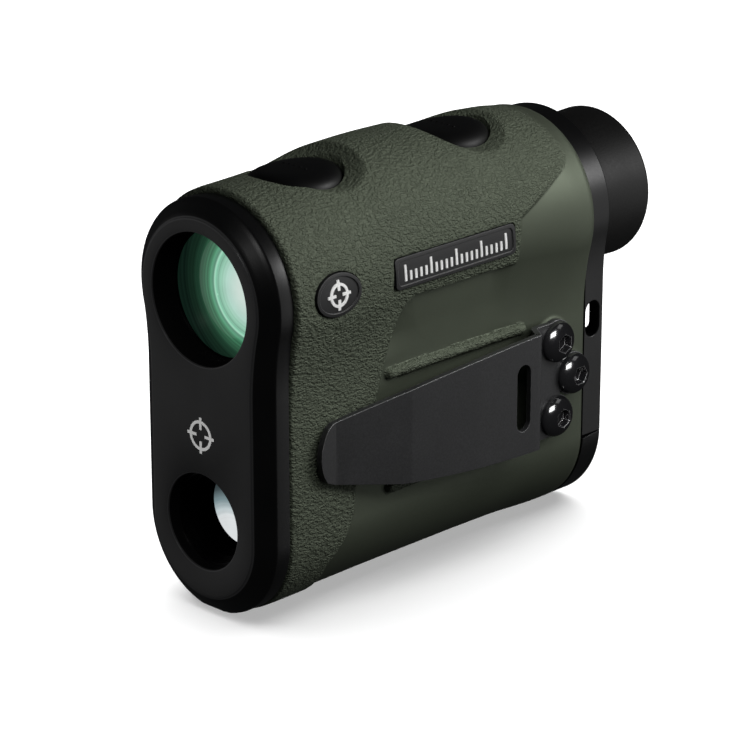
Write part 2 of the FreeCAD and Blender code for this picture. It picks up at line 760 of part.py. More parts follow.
def battery_door():
    body = slab(FRAME_R, DOOR_Y0, FRAME_Y1)
    body = rounded(body, FRAME_EDGE_R, lambda c: c.y > FRAME_Y1 - 0.01)
    body = body.common(sloped_block(30, DOOR_TOP_Z).fuse(sloped_block(TONGUE_X, TONGUE_Z)))
    body = on_base(body)
    for side in (-1, 1):
        x = sorted((side * (EAR_X[0] - 0.15), side * (EAR_X[1] + 0.15)))
        body = body.cut(box(x, (30, 45), (-1, 4.7)))
    body = body.cut(cyl_x(HINGE_PIN_R + 0.05, -12, 12, HINGE_Y, HINGE_Z))
    toe = box((-30, 30), (DOOR_Y0 - 1, DOOR_Y0 + 0.7), (-1, 0.7))
    body = body.cut(toe)
    body = body.cut(cyl_z(7.5, 25.4, 30, 0, FRAME_Y1 + 6.2))
    return body.cut(ring_y(10.0, 8.8, DOOR_Y0 - 1, DOOR_Y0 + 0.6, LOW_Z))


def door_seal():
    return ring_y(9.95, 8.85, DOOR_Y0 - 0.15, DOOR_Y0 + 0.6, LOW_Z)


def door_contact():
    return cyl_y(5.0, DOOR_Y0 - 0.4, DOOR_Y0, LOW_Z)


def hinge_pin():
    return cyl_x(HINGE_PIN_R, -EAR_X[1], EAR_X[1], HINGE_Y, HINGE_Z)


def battery_tube():
    body = cyl_y(TUBE_R, TUBE_Y0, HOUSING_Y1, LOW_Z)
    body = body.cut(cyl_y(BATTERY_R + 0.3, TUBE_Y0 + 1.0, HOUSING_Y1 + 1, LOW_Z))
    return body.cut(cyl_y(2.0, TUBE_Y0 - 1, TUBE_Y0 + 2, LOW_Z))


def battery():
    y1 = HOUSING_Y1
    y0 = y1 - BATTERY_LEN
    case = cyl_y(BATTERY_R, y0 + 0.8, y1, LOW_Z)
    case = rounded(case, 0.6, lambda c: True)
    return case.fuse(cyl_y(3.2, y0, y0 + 1.4, LOW_Z))


def battery_contact():
    """A dished spring plate at the inner end of the battery tube."""
    return turned([(0, 6.9), (0, 7.3), (3.0, 7.3), (7.0, 6.4), (7.0, 6.0), (3.0, 6.9)], LOW_Z)


# ---- electronics ----

def main_board():
    return box((-11.2, 11.2), (-30, 20), BOARD_Z)


def board_parts():
    """Processor, memory, high-voltage can, timing chip, coil and two connectors."""
    top = BOARD_Z[1]
    sizes = [
        ((-4, 4), (-8, 0), 1.0),
        ((5.5, 10.5), (-7, -1), 0.9),
        ((-10, 2), (-27, -17), 4.0),
        ((4, 9), (-26, -21), 1.2),
        ((5, 10), (-16, -11), 2.4),
        ((-9.5, -3.5), (9, 13), 2.0),
        ((2, 8), (14, 18), 2.0),
    ]
    return group([box(x, y, (top, top + tall)) for x, y, tall in sizes])


# ---- clip ----

def ribbon(path):
    """A strip of clip steel standing on edge, from a path of its outer face in X and Y."""
    points = [Vector(x, y, 0) for x, y in path]
    back = []
    for index, point in enumerate(points):
        before = points[max(index - 1, 0)]
        after = points[min(index + 1, len(points) - 1)]
        along = (after - before).normalize()
        normal = Vector(along.y, -along.x, 0)
        if normal.x > 0:
            normal = normal * -1
        back.append(point + normal * CLIP_T)
    loop = points + back[::-1] + points[:1]
    strip = Part.Face(Part.makePolygon(loop)).extrude(Vector(0, 0, 30))
    return strip.translated(Vector(0, 0, CLIP_Z - 15))


def leaf_outline():
    """Flat view of the leaf: it narrows along two curves towards a blunt round tip."""
    def at(y, height):
        return Vector(0, y, CLIP_Z + height)
    step_up, step_down = at(LEAF_Y1, LEAF_HALF), at(LEAF_Y1, -LEAF_HALF)
    tip_up, tip_down = at(-30.9, 6.2), at(-31.4, -4.5)
    wire = Part.Wire([
        arc(step_up, at(-6.5, 9.1), tip_up),
        arc(tip_up, at(LEAF_TIP_Y, 0.85), tip_down),
        line(tip_down, at(-15.2, -8.4)),
        arc(at(-15.2, -8.4), at(2.0, -10.15), step_down),
        line(step_down, step_up),
    ])
    return Part.Face(wire).extrude(Vector(40, 0, 0))


def clip_leaf():
    leaf = ribbon(LEAF_PATH).common(leaf_outline())
    leaf = leaf.cut(box((0, 30), (LEAF_Y1 - CLIP_GAP, 40), (0, 60)))
    return leaf.cut(clip_slot())


def clip_slot():
    slot = stadium_x(12.5, 3.5, 10, 30, 0, 0)
    slot.rotate(Vector(0, 0, 0), Vector(1, 0, 0), 90)
    slot.translate(Vector(0, 14.1, CLIP_Z))
    return slot


def clip_base():
    strip = ribbon(BASE_PATH)
    wide = box((10, 30), (LEAF_Y1 + CLIP_GAP, SCREWS_YZ[0][0]), (CLIP_Z - LEAF_HALF, CLIP_Z + LEAF_HALF))
    outline_solid = clip_pads(10, 30).fuse(wide)
    body = strip.common(outline_solid)
    for y, z in SCREWS_YZ:
        body = body.cut(cyl_x(M4_CLEAR_R, 10, 30, y, z))
    return body


def hexagon(corner_r, x, y, z):
    """A hexagonal prism along X, 3 mm long, for a socket."""
    turns = [math.radians(60 * step) for step in range(7)]
    points = [Vector(x, y + corner_r * math.cos(a), z + corner_r * math.sin(a)) for a in turns]
    return Part.Face(Part.makePolygon(points)).extrude(Vector(3, 0, 0))


def clip_screws():
    """Button-head screws with hexagon sockets."""
    screws = []
    for y, z in SCREWS_YZ:
        head = cyl_x(BUTTON_HEAD_R, PLATE_X, PLATE_X + BUTTON_HEAD_H, y, z)
        head = rounded(head, 1.2, lambda c: c.x > PLATE_X + BUTTON_HEAD_H - 0.1)
        head = head.cut(hexagon(HEX_R, PLATE_X + 0.8, y, z))
        screws.append(head.fuse(cyl_x(M4_R, 9.8, PLATE_X + 0.1, y, z)))
    return group(screws)


# ---- output ----

PARTS = {
    "front_bezel": front_bezel,
    "front_emblem": front_emblem,
    "front_gasket": front_gasket,
    "armor": armor,
    "name_plate_left": name_plate,
    "name_plate_right": lambda: mirrored(name_plate()),
    "scale_ticks": lambda: both_sides_group(scale_ticks()),
    "badge_left": badge,
    "badge_right": lambda: mirrored(badge()),
    "badge_marks": lambda: both_sides_group(badge_mark()),
    "housing_left": housing_left,
    "housing_right": housing_right,
    "housing_screws": housing_screws,
    "threaded_inserts": lambda: both_sides_group(inserts()),
    "front_button": front_button,
    "rear_button": rear_button,
    "switches": switches,
    "front_switch_plunger": lambda: switch_plunger(FRONT_BUTTON["y"]),
    "rear_switch_plunger": lambda: switch_plunger(REAR_BUTTON["y"]),
    "button_board": button_board,
    "objective_barrel": objective_barrel,
    "objective_front_lens": objective_front_lens,
    "objective_rear_lens": objective_rear_lens,
    "objective_retaining_ring": objective_retaining_ring,
    "objective_o_ring": objective_o_ring,
    "front_prism": front_prism,
    "roof_prism": roof_prism,
    "prism_cage": prism_cage,
    "receiver": receiver,
    "receiver_board": receiver_board,
    "laser_tube": laser_tube,
    "laser_retaining_ring": laser_retaining_ring,
    "laser_lens": laser_lens,
    "laser_diode": laser_diode,
    "laser_board": laser_board,
    "display_glass": display_glass,
    "display_mount": display_mount,
    "eyepiece_tube": eyepiece_tube,
    "eyepiece_cell": eyepiece_cell,
    "field_lens": field_lens,
    "eye_lens": eye_lens,
    "diopter_ring": diopter_ring,
    "eyecup": eyecup,
    "rear_gasket": rear_gasket,
    "rear_frame": rear_frame,
    "rear_frame_screws": rear_frame_screws,
    "battery_door": battery_door,
    "door_seal": door_seal,
    "door_contact": door_contact,
    "hinge_pin": hinge_pin,
    "battery_tube": battery_tube,
    "battery": battery,
    "battery_contact": battery_contact,
    "main_board": main_board,
    "board_parts": board_parts,
    "clip_base": clip_base,
    "clip_leaf": clip_leaf,
    "clip_screws": clip_screws,
}


def main():
    os.makedirs("parts", exist_ok=True)
    for name, make in PARTS.items():
        make().exportStep("parts/" + name + ".step")


main()
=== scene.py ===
import math

import bmesh
import bpy
import numpy as np
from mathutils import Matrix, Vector


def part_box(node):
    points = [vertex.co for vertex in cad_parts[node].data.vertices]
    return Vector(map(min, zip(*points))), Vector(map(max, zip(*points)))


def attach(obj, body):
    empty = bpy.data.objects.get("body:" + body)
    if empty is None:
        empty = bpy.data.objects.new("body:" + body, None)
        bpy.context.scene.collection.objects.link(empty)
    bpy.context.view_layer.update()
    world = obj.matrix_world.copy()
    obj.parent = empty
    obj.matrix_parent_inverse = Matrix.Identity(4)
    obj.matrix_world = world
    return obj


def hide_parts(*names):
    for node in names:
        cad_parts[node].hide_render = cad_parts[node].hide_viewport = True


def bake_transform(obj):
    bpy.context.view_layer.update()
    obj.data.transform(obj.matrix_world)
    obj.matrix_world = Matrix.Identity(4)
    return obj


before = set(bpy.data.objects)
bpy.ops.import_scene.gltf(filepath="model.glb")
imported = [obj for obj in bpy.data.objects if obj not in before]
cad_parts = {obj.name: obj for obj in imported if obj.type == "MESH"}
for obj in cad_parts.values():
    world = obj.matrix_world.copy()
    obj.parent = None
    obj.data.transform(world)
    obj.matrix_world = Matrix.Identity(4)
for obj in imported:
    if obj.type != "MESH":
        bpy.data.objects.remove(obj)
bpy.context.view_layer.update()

MM = 0.001

# ---- places and sizes that come from the frame, in millimetres ----


def box_mm(node):
    low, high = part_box(node)
    return np.array(low) / MM, np.array(high) / MM


def middle(node):
    low, high = box_mm(node)
    return (low + high) / 2


BEZEL = box_mm("front_bezel")
ARMOR = box_mm("armor")
FACE_Y = BEZEL[0][1]
ARMOR_Y0, ARMOR_Y1 = ARMOR[0][1], ARMOR[1][1]
TOP_Z = middle("eyecup")[2]
LASER_Z = middle("laser_retaining_ring")[2]
CLIP_Z = middle("clip_leaf")[2]
PLATE_LOW, PLATE_HIGH = box_mm("name_plate_left")
BADGE_LOW, BADGE_HIGH = box_mm("badge_left")
FRONT_BUTTON = box_mm("front_button")
REAR_BUTTON = box_mm("rear_button")

# the body outline across X and Z, as in the CAD source
LOW_Z = 15.2
BLEND_R = 53.0
FACE_R = (14.0, 12.2)
BEZEL_R = (17.1, 15.7)
HOUSING_R = (15.0, 14.2)
BEVEL_Y = FACE_Y + 2.6
OBJ_BORE_R = 11.57
LASER_BORE_R = 8.58

# rubber armour sections: y, upper round, half waist, lift of the upper round
ARMOR_SECTIONS = np.array([
    (ARMOR_Y0, 18.0, 15.9, 0.0),
    (-36.5, 18.2, 16.0, 0.0),
    (-25.0, 18.3, 15.9, 0.3),
    (-12.5, 18.4, 15.8, 1.95),
    (-3.0, 18.4, 15.8, 2.2),
    (6.0, 18.4, 15.8, 2.05),
    (18.0, 18.4, 15.9, 1.25),
    (28.0, 18.4, 16.0, 0.5),
    (33.4, 18.2, 16.0, 0.0),
    (ARMOR_Y1, 17.8, 15.8, 0.0),
])


# ---- mesh helpers ----

def make_object(name, verts, faces, material, body, replaces=(), smooth=40.0):
    """A mesh from points in millimetres, riding on a body."""
    mesh = bpy.data.meshes.new(name)
    points = np.asarray(verts, float) * MM
    mesh.from_pydata(points.tolist(), [], [list(map(int, f)) for f in faces])
    mesh.validate()
    piece = bpy.data.objects.new(name, mesh)
    bpy.context.scene.collection.objects.link(piece)
    finish_object(piece, material, body, replaces, smooth)
    return piece


def finish_object(piece, material, body, replaces=(), smooth=40.0):
    piece.data.materials.clear()
    piece.data.materials.append(material)
    shade(piece.data, smooth)
    if body:
        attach(piece, body)
    if replaces:
        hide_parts(*replaces)


def shade(mesh, angle):
    """Smooth shading, with edges sharper than the angle kept."""
    for polygon in mesh.polygons:
        polygon.use_smooth = True
    mesh.set_sharp_from_angle(angle=math.radians(angle))


def grid_faces(rows, cols, wrap_rows=False, wrap_cols=True):
    """Quads over a grid of points stored row by row."""
    r = np.arange(rows if wrap_rows else rows - 1)
    c = np.arange(cols if wrap_cols else cols - 1)
    rr, cc = np.meshgrid(r, c, indexing="ij")
    r2 = (rr + 1) % rows
    c2 = (cc + 1) % cols
    quads = np.stack([rr * cols + cc, rr * cols + c2, r2 * cols + c2, r2 * cols + cc], axis=-1)
    return quads.reshape(-1, 4)


def turned(name, profile, z, material, body, replaces, segments, smooth):
    """A closed ring turned about the line along Y at height z, from (radius, y) corners."""
    profile = np.array(profile, float)
    angle = np.linspace(0, 2 * math.pi, segments, endpoint=False)
    rows = []
    for radius, y in profile:
        across, up = radius * np.cos(angle), z + radius * np.sin(angle)
        rows.append(np.stack([across, np.full(segments, y), up], axis=-1))
    faces = grid_faces(len(profile), segments, wrap_rows=True)
    return make_object(name, np.concatenate(rows), faces, material, body, replaces, smooth)


def rounded_corners(points, radius, steps=5):
    """A closed outline with each corner replaced by a small arc; radius 0 keeps a corner."""
    points = np.array(points, float)
    out = []
    for index, point in enumerate(points):
        before = points[index - 1] - point
        after = points[(index + 1) % len(points)] - point
        r = radius[index] if hasattr(radius, "__len__") else radius
        if r <= 0:
            out.append(point)
            continue
        before = before / np.linalg.norm(before)
        after = after / np.linalg.norm(after)
        half = math.acos(max(-1.0, min(1.0, float(before @ after)))) / 2
        reach = r / math.tan(half)
        centre = point + (before + after) / np.linalg.norm(before + after) * (r / math.sin(half))
        start = point + before * reach - centre
        end = point + after * reach - centre
        for t in np.linspace(0, 1, steps):
            turn = start * (1 - t) + end * t
            out.append(centre + turn / np.linalg.norm(turn) * r)
    return np.array(out)


def smoothstep(x):
    x = np.clip(x, 0, 1)
    return x * x * (3 - 2 * x)


def outline(r, w, lift, counts=(70, 60, 36, 84)):
    """Points and outward normals of the body outline, from the bottom up the +X side and down the other.
    r, w and lift are arrays, one entry for each row."""
    r, w, lift = (np.asarray(a, float).reshape(-1, 1) for a in (r, w, lift))
    top = TOP_Z + lift
    drop = np.sqrt((r + BLEND_R) ** 2 - (w + BLEND_R) ** 2)
    n1, n2, n3, n4 = counts
    a = np.radians(np.linspace(-90, 0, n1, endpoint=False))[None, :]
    parts = [(w * np.cos(a), LOW_Z + w * np.sin(a), np.cos(a) + 0 * w, np.sin(a) + 0 * w)]
    t = np.linspace(0, 1, n2, endpoint=False)[None, :]
    foot = top - drop
    parts.append((w + 0 * t, LOW_Z + (foot - LOW_Z) * t, 1 + 0 * t + 0 * w, 0 * t + 0 * w))
    theta = np.arctan2(-drop, w + BLEND_R)
    t = np.linspace(0, 1, n3, endpoint=False)[None, :]
    phi = math.pi + theta * t
    waist_x, waist_z = w + BLEND_R + BLEND_R * np.cos(phi), foot + BLEND_R * np.sin(phi)
    parts.append((waist_x, waist_z, -np.cos(phi), -np.sin(phi)))
    t = np.linspace(0, 1, n4)[None, :]
    b = theta + (math.pi / 2 - theta) * t
    parts.append((r * np.cos(b), top + r * np.sin(b), np.cos(b), np.sin(b)))
    x, z, nx, nz = (np.concatenate([p[k] for p in parts], axis=1) for k in range(4))
    flip = slice(-2, 0, -1)
    return (np.concatenate([x, -x[:, flip]], axis=1), np.concatenate([z, z[:, flip]], axis=1),
            np.concatenate([nx, -nx[:, flip]], axis=1), np.concatenate([nz, nz[:, flip]], axis=1))


# ---- rubber armour ----

GRID = 0.3
PAD_X = 16.1
BED_DEPTH = 1.2
# floor of the button pits, and the clip's screw holes
PIT_FLOOR_Z = 69.2
HOLE_DEPTH = 3.2
HOLE_R = 2.4
# round of the front and the rear end
END_TURN = (0.7, 0.35)
PLATE_GAP = 0.26
PLATE_CORNER_R = 0.9
RIB = {"y0": -16.2, "y1": 19.0, "half": 0.95, "high": 1.05}
RIBS_Z = (39.75, 18.8)
# places of the three clip screws, as (y, z)
SCREWS_YZ = [(25.85, 35.8), (30.2, 28.7), (25.85, 21.6)]
# hollows scooped across the top round the two buttons, as (y, radius, lowest z)
HOLLOWS = [(-21.0, 12.0, 72.4), (14.9, 14.4, 72.4)]
# edge of the smooth part of each side, from the rear top round to the front foot, as (y, z)
SMOOTH_EDGE = [
    (31.2, 90.0), (30.6, 68.4), (29.2, 67.3), (23.7, 65.1), (18.9, 63.0), (15.0, 61.4), (14.5, 53.1),
    (-11.0, 53.2), (-13.3, 51.6), (-14.5, 49.3), (-15.2, 47.0), (-16.8, 41.8), (-18.6, 36.1), (-23.8, 20.8),
    (-24.0, 17.3), (-25.5, 13.1), (-29.1, 7.9), (-29.0, -5.0),
]


def curve_through(x, points):
    """Values of a smooth curve through the (x, value) points, without overshoot between equal ones."""
    px, py = points[:, 0], points[:, 1]
    step = np.diff(px)
    slope = np.diff(py) / step
    tangent = np.zeros(len(px))
    same = slope[:-1] * slope[1:] > 0
    tangent[1:-1][same] = 2 / (1 / slope[:-1][same] + 1 / slope[1:][same])
    tangent[0], tangent[-1] = slope[0], slope[-1]
    i = np.clip(np.searchsorted(px, x) - 1, 0, len(step) - 1)
    t = (x - px[i]) / step[i]
    return (py[i] * (1 + 2 * t) * (1 - t) ** 2 + tangent[i] * step[i] * t * (1 - t) ** 2
            + py[i + 1] * t * t * (3 - 2 * t) + tangent[i + 1] * step[i] * t * t * (t - 1))


def line_distance(y, z, points):
    """Distance to an open line of points, positive on its left."""
    best = np.full(y.shape, 1e9)
    side = np.ones(y.shape)
    for (y0, z0), (y1, z1) in zip(points[:-1], points[1:]):
        dy, dz = y1 - y0, z1 - z0
        t = np.clip(((y - y0) * dy + (z - z0) * dz) / (dy * dy + dz * dz), 0, 1)
        ey, ez = y - y0 - t * dy, z - z0 - t * dz
        d = np.hypot(ey, ez)
        nearer = d < best - 1e-9
        best = np.where(nearer, d, best)
        side = np.where(nearer, np.sign(dy * ez - dz * ey), side)
    return best * side


def rounded_box_distance(y, z, centre, half, radius):
    """Distance outside a rounded rectangle, negative inside."""
    qy = np.abs(y - centre[0]) - half[0] + radius
    qz = np.abs(z - centre[1]) - half[1] + radius
    outside = np.hypot(np.maximum(qy, 0), np.maximum(qz, 0))
    return outside + np.minimum(np.maximum(qy, qz), 0) - radius


def oval_distance(y, z, centre, half):
    """Close to the distance outside an ellipse, negative inside."""
    u, v = (y - centre[0]) / half[0], (z - centre[1]) / half[1]
    k = np.hypot(u, v)
    slope = np.hypot(u / half[0], v / half[1])
    return np.where(slope > 1e-9, k * (k - 1) / np.maximum(slope, 1e-9), -min(half))


def snapped(a, b, distance, reach):
    """Moves the points of a grid that lie within reach of a line onto it; a and b are their coordinates."""
    for _ in range(3):
        d = distance(a, b)
        e = 1e-3
        ga = (distance(a + e, b) - distance(a - e, b)) / (2 * e)
        gb = (distance(a, b + e) - distance(a, b - e)) / (2 * e)
        near = np.abs(d) < reach
        size = np.maximum(ga * ga + gb * gb, 0.25)
        a = np.where(near, a - d * ga / size, a)
        b = np.where(near, b - d * gb / size, b)
    return a, b


def plate_distance(y, z):
    half = ((PLATE_HIGH[1] - PLATE_LOW[1]) / 2 + PLATE_GAP, (PLATE_HIGH[2] - PLATE_LOW[2]) / 2 + PLATE_GAP)
    centre = ((PLATE_HIGH[1] + PLATE_LOW[1]) / 2, (PLATE_HIGH[2] + PLATE_LOW[2]) / 2)
    return rounded_box_distance(y, z, centre, half, PLATE_CORNER_R)


def badge_distance(y, z):
    half = ((BADGE_HIGH[1] - BADGE_LOW[1]) / 2 + PLATE_GAP, (BADGE_HIGH[2] - BADGE_LOW[2]) / 2 + PLATE_GAP)
    centre = ((BADGE_HIGH[1] + BADGE_LOW[1]) / 2, (BADGE_HIGH[2] + BADGE_LOW[2]) / 2)
    return oval_distance(y, z, centre, half)


def beds_distance(y, z):
    return np.minimum(plate_distance(y, z), badge_distance(y, z))


def rib_distance(y, z):
    centre_y = (RIB["y0"] + RIB["y1"]) / 2
    half = ((RIB["y1"] - RIB["y0"]) / 2, RIB["half"])
    return np.minimum.reduce([rounded_box_distance(y, z, (centre_y, rz), half, RIB["half"] - 0.01)
                              for rz in RIBS_Z])


def pad_distance(y, z):
    """Outside the three joined lobes under the clip's plate."""
    lobes = [np.hypot(y - sy, z - sz) - 4.1 for sy, sz in SCREWS_YZ]
    web = rounded_box_distance(y, z, (24.8, CLIP_Z), (2.2, 9.0), 0.5)
    return np.minimum.reduce(lobes + [web])


def hole_distance(y, z):
    return np.minimum.reduce([np.hypot(y - sy, z - sz) - HOLE_R for sy, sz in SCREWS_YZ])


def pit_distance(x, y):
    """Outside the oval pits under the two buttons."""
    pits = []
    for low, high in (FRONT_BUTTON, REAR_BUTTON):
        half = ((high[1] - low[1]) / 2 + 0.15, (high[0] - low[0]) / 2 + 0.15)
        pits.append(oval_distance(y, x, ((low[1] + high[1]) / 2, 0), half))
    return np.minimum(*pits)


def soft_min(a, b, width):
    t = np.clip(0.5 + (b - a) / (2 * width), 0, 1)
    return b + (a - b) * t - width * t * (1 - t)


def armor_skin(material):
    rows = int((ARMOR_Y1 - ARMOR_Y0) / GRID)
    ends = END_TURN[0] * (1 - np.cos(np.linspace(0, math.pi / 2, 6)[1:]))
    y = np.concatenate([[ARMOR_Y0], ARMOR_Y0 + ends, np.linspace(ARMOR_Y0 + 1, ARMOR_Y1 - 1, rows),
                        ARMOR_Y1 - ends[::-1], [ARMOR_Y1]])
    r, w, lift = (curve_through(y, ARMOR_SECTIONS[:, [0, k]]) for k in (1, 2, 3))
    fine = 0.3 / GRID
    counts = tuple(int(n * fine) for n in (84, 80, 52, 120))
    x, z, nx, nz = outline(r, w, lift, counts)
    y = np.repeat(y[:, None], x.shape[1], axis=1)
    # an edge of a plate, pit or hole follows the nearest points of the grid
    reach = GRID * 0.55
    on_side = np.abs(nx) > 0.35
    for distance in (beds_distance, rib_distance, hole_distance):
        y2, z2 = snapped(y, z, distance, reach)
        y, z = np.where(on_side, y2, y), np.where(on_side, z2, z)
    x2, y2 = snapped(x, y, pit_distance, reach)
    on_top = (nz > 0.5) & (z > 66)
    x, y = np.where(on_top, x2, x), np.where(on_top, y2, y)

    # the smooth part is sunk a little below the grain; at the rear, high up, the grain only fades away
    smooth_line = rounded_corners(SMOOTH_EDGE, [0] + [0.6] * (len(SMOOTH_EDGE) - 2) + [0], 6)
    smooth_side = line_distance(y, z, smooth_line)
    fade = 0.5 + 2.5 * smoothstep((z - 67.5) / 2)
    smooth = smoothstep((smooth_side + fade / 2) / fade)
    depth = (0.3 + 0.15 * smoothstep((60 - z) / 8)) * smoothstep((70 - z) / 2.5) * smoothstep((32 - y) / 14)
    scoop = 0.8 * np.exp(-np.maximum(smooth_side, 0) / 3.5)
    scoop = scoop * smoothstep((z - 42) / 5) * smoothstep((57 - z) / 3) * smoothstep((14 - y) / 5)
    height = -smooth * (depth + scoop)
    grain = 1 - smooth
    rib_d = rib_distance(y, z)
    rib_up = np.sqrt(np.clip(1 - (np.clip(rib_d + RIB["half"], 0, RIB["half"]) / RIB["half"]) ** 2, 0, 1))
    ribbed = on_side & (rib_d < 0.01)
    height = np.where(ribbed, np.maximum(height, -0.45 + RIB["high"] * rib_up ** 0.7), height)
    grain = np.where(ribbed, 0.7, grain)
    pad_d = pad_distance(y, z)
    pad = on_side * smoothstep((0.35 - pad_d) / 0.5)
    height = height + pad * ((PAD_X - np.abs(x)) / np.maximum(np.abs(nx), 0.5) - height)
    grain = grain * (1 - pad)
    bed = on_side & (beds_distance(y, z) < -0.02)
    height = np.where(bed, -BED_DEPTH, height)
    lip = on_side * smoothstep(1 - np.abs(beds_distance(y, z)) / 0.45)
    height = np.where(bed, height, height - 0.12 * lip)
    hole = on_side & (hole_distance(y, z) < -0.05)
    height = np.where(hole, -HOLE_DEPTH, height)
    # both ends turn in
    edge = np.minimum(y - ARMOR_Y0, ARMOR_Y1 - y)
    round_r = np.where(y < 0, *END_TURN)
    turn = round_r - np.sqrt(np.clip(round_r ** 2 - (round_r - np.clip(edge, 0, round_r)) ** 2, 0, None))
    height = height - turn
    x, z = x + nx * height, z + nz * height
    for centre, radius, floor in HOLLOWS:
        reach_y = np.clip(np.abs(y - centre), 0, radius - 0.01)
        z = np.where(nz > 0, soft_min(z, floor + radius - np.sqrt(radius ** 2 - reach_y ** 2), 0.35), z)
    pit = on_top & (pit_distance(x, y) < -0.02)
    z = np.where(pit, np.minimum(z, PIT_FLOOR_Z), z)
    z = np.maximum(z, 0.0)

    inner_y = np.array([ARMOR_Y1 - 0.01, ARMOR_Y1 - 4, ARMOR_Y0 + 4, ARMOR_Y0 + 0.01])
    ix, iz, _, _ = outline(*(np.full(4, v) for v in (HOUSING_R[0], HOUSING_R[1], 0.0)), counts)
    iy = np.repeat(inner_y[:, None], ix.shape[1], axis=1)
    points = np.stack([np.concatenate([x, ix]), np.concatenate([y, iy]), np.concatenate([z, iz])], axis=-1)
    n, m = points.shape[:2]
    faces = grid_faces(n, m, wrap_rows=True)[:, ::-1]
    piece = make_object("armor_skin", points.reshape(-1, 3), faces, material, "housing",
                        ["armor"], 50.0)
    mask = piece.data.attributes.new("grain", "FLOAT", "POINT")
    values = np.concatenate([grain, np.zeros(ix.shape)]).astype(np.float32).ravel()
    mask.data.foreach_set("value", values)
    return piece


# ---- front bezel ----

def filled_face(bm, loops):
    """A flat face between closed loops of points."""
    edges = []
    for loop in loops:
        verts = [bm.verts.new(p) for p in loop]
        edges += [bm.edges.new((verts[k], verts[(k + 1) % len(verts)])) for k in range(len(verts))]
    return bmesh.ops.triangle_fill(bm, edges=edges, use_beauty=True, use_dissolve=False)


def strip(bm, loops):
    """Quads between closed loops of equal length."""
    rows = [[bm.verts.new(p) for p in loop] for loop in loops]
    for row, following in zip(rows[:-1], rows[1:]):
        for k in range(len(row)):
            k2 = (k + 1) % len(row)
            bm.faces.new((row[k], row[k2], following[k2], following[k]))


def circle(radius, y, z, count=144):
    angles = np.linspace(0, 2 * math.pi, count, endpoint=False)
    return [Vector((radius * math.cos(a), y, z + radius * math.sin(a))) * MM for a in angles]


def outline_loop(r, w, y):
    x, z, _, _ = outline([r], [w], [0.0], (48, 30, 24, 60))
    z = np.maximum(z[0], 0)
    return [Vector((a, y, b)) * MM for a, b in zip(x[0], z)]


def mesh_piece(bm, name, material, body, replaces, smooth, merge=2e-6):
    """A piece from a bmesh in metres, with points closer than merge joined."""
    bmesh.ops.remove_doubles(bm, verts=bm.verts, dist=merge)
    bmesh.ops.recalc_face_normals(bm, faces=bm.faces)
    mesh = bpy.data.meshes.new(name)
    bm.to_mesh(mesh)
    bm.free()
    piece = bpy.data.objects.new(name, mesh)
    bpy.context.scene.collection.objects.link(piece)
    finish_object(piece, material, body, replaces, smooth)
    return piece


def bezel(material):
    bm = bmesh.new()
    dr, dw, dy = BEZEL_R[0] - FACE_R[0], BEZEL_R[1] - FACE_R[1], BEVEL_Y - FACE_Y
    # the front edge and the edge behind the bevel are slightly round
    path = [(-0.35, 0.03), (-0.15, 0.05), (0.0, 0.12), (0.07, 0.24)]
    profile = [(FACE_R[0] + a, FACE_R[1] + a, FACE_Y + b) for a, b in path]
    for t in np.linspace(0.16, 0.92, 5):
        profile.append((FACE_R[0] + dr * t, FACE_R[1] + dw * t, FACE_Y + dy * t))
    for a, b in [(-0.12, -0.02), (-0.03, 0.12), (0.0, 0.3)]:
        profile.append((BEZEL_R[0] + a, BEZEL_R[1] + a, BEVEL_Y + b))
    profile += [(BEZEL_R[0], BEZEL_R[1], ARMOR_Y0 - 0.15), (BEZEL_R[0] - 0.15, BEZEL_R[1] - 0.15, ARMOR_Y0)]
    loops = [outline_loop(*p) for p in profile]
    strip(bm, loops)
    ends = []
    front = FACE_Y + 0.03
    for radius, z in ((OBJ_BORE_R, TOP_Z), (LASER_BORE_R, LASER_Z)):
        wall = [(radius + 0.3, front), (radius + 0.1, front + 0.07), (radius, front + 0.3)]
        wall.append((radius, ARMOR_Y0))
        strip(bm, [circle(r, y, z) for r, y in wall])
        ends.append((circle(radius + 0.3, front, z), circle(radius, ARMOR_Y0, z)))
    filled_face(bm, [loops[0]] + [rim for rim, _ in ends])
    filled_face(bm, [loops[-1]] + [back for _, back in ends])
    return mesh_piece(bm, "bezel_shell", material, "housing", ["front_bezel"], 32.0)


# ---- buttons ----

KEY_CROWN = 0.014


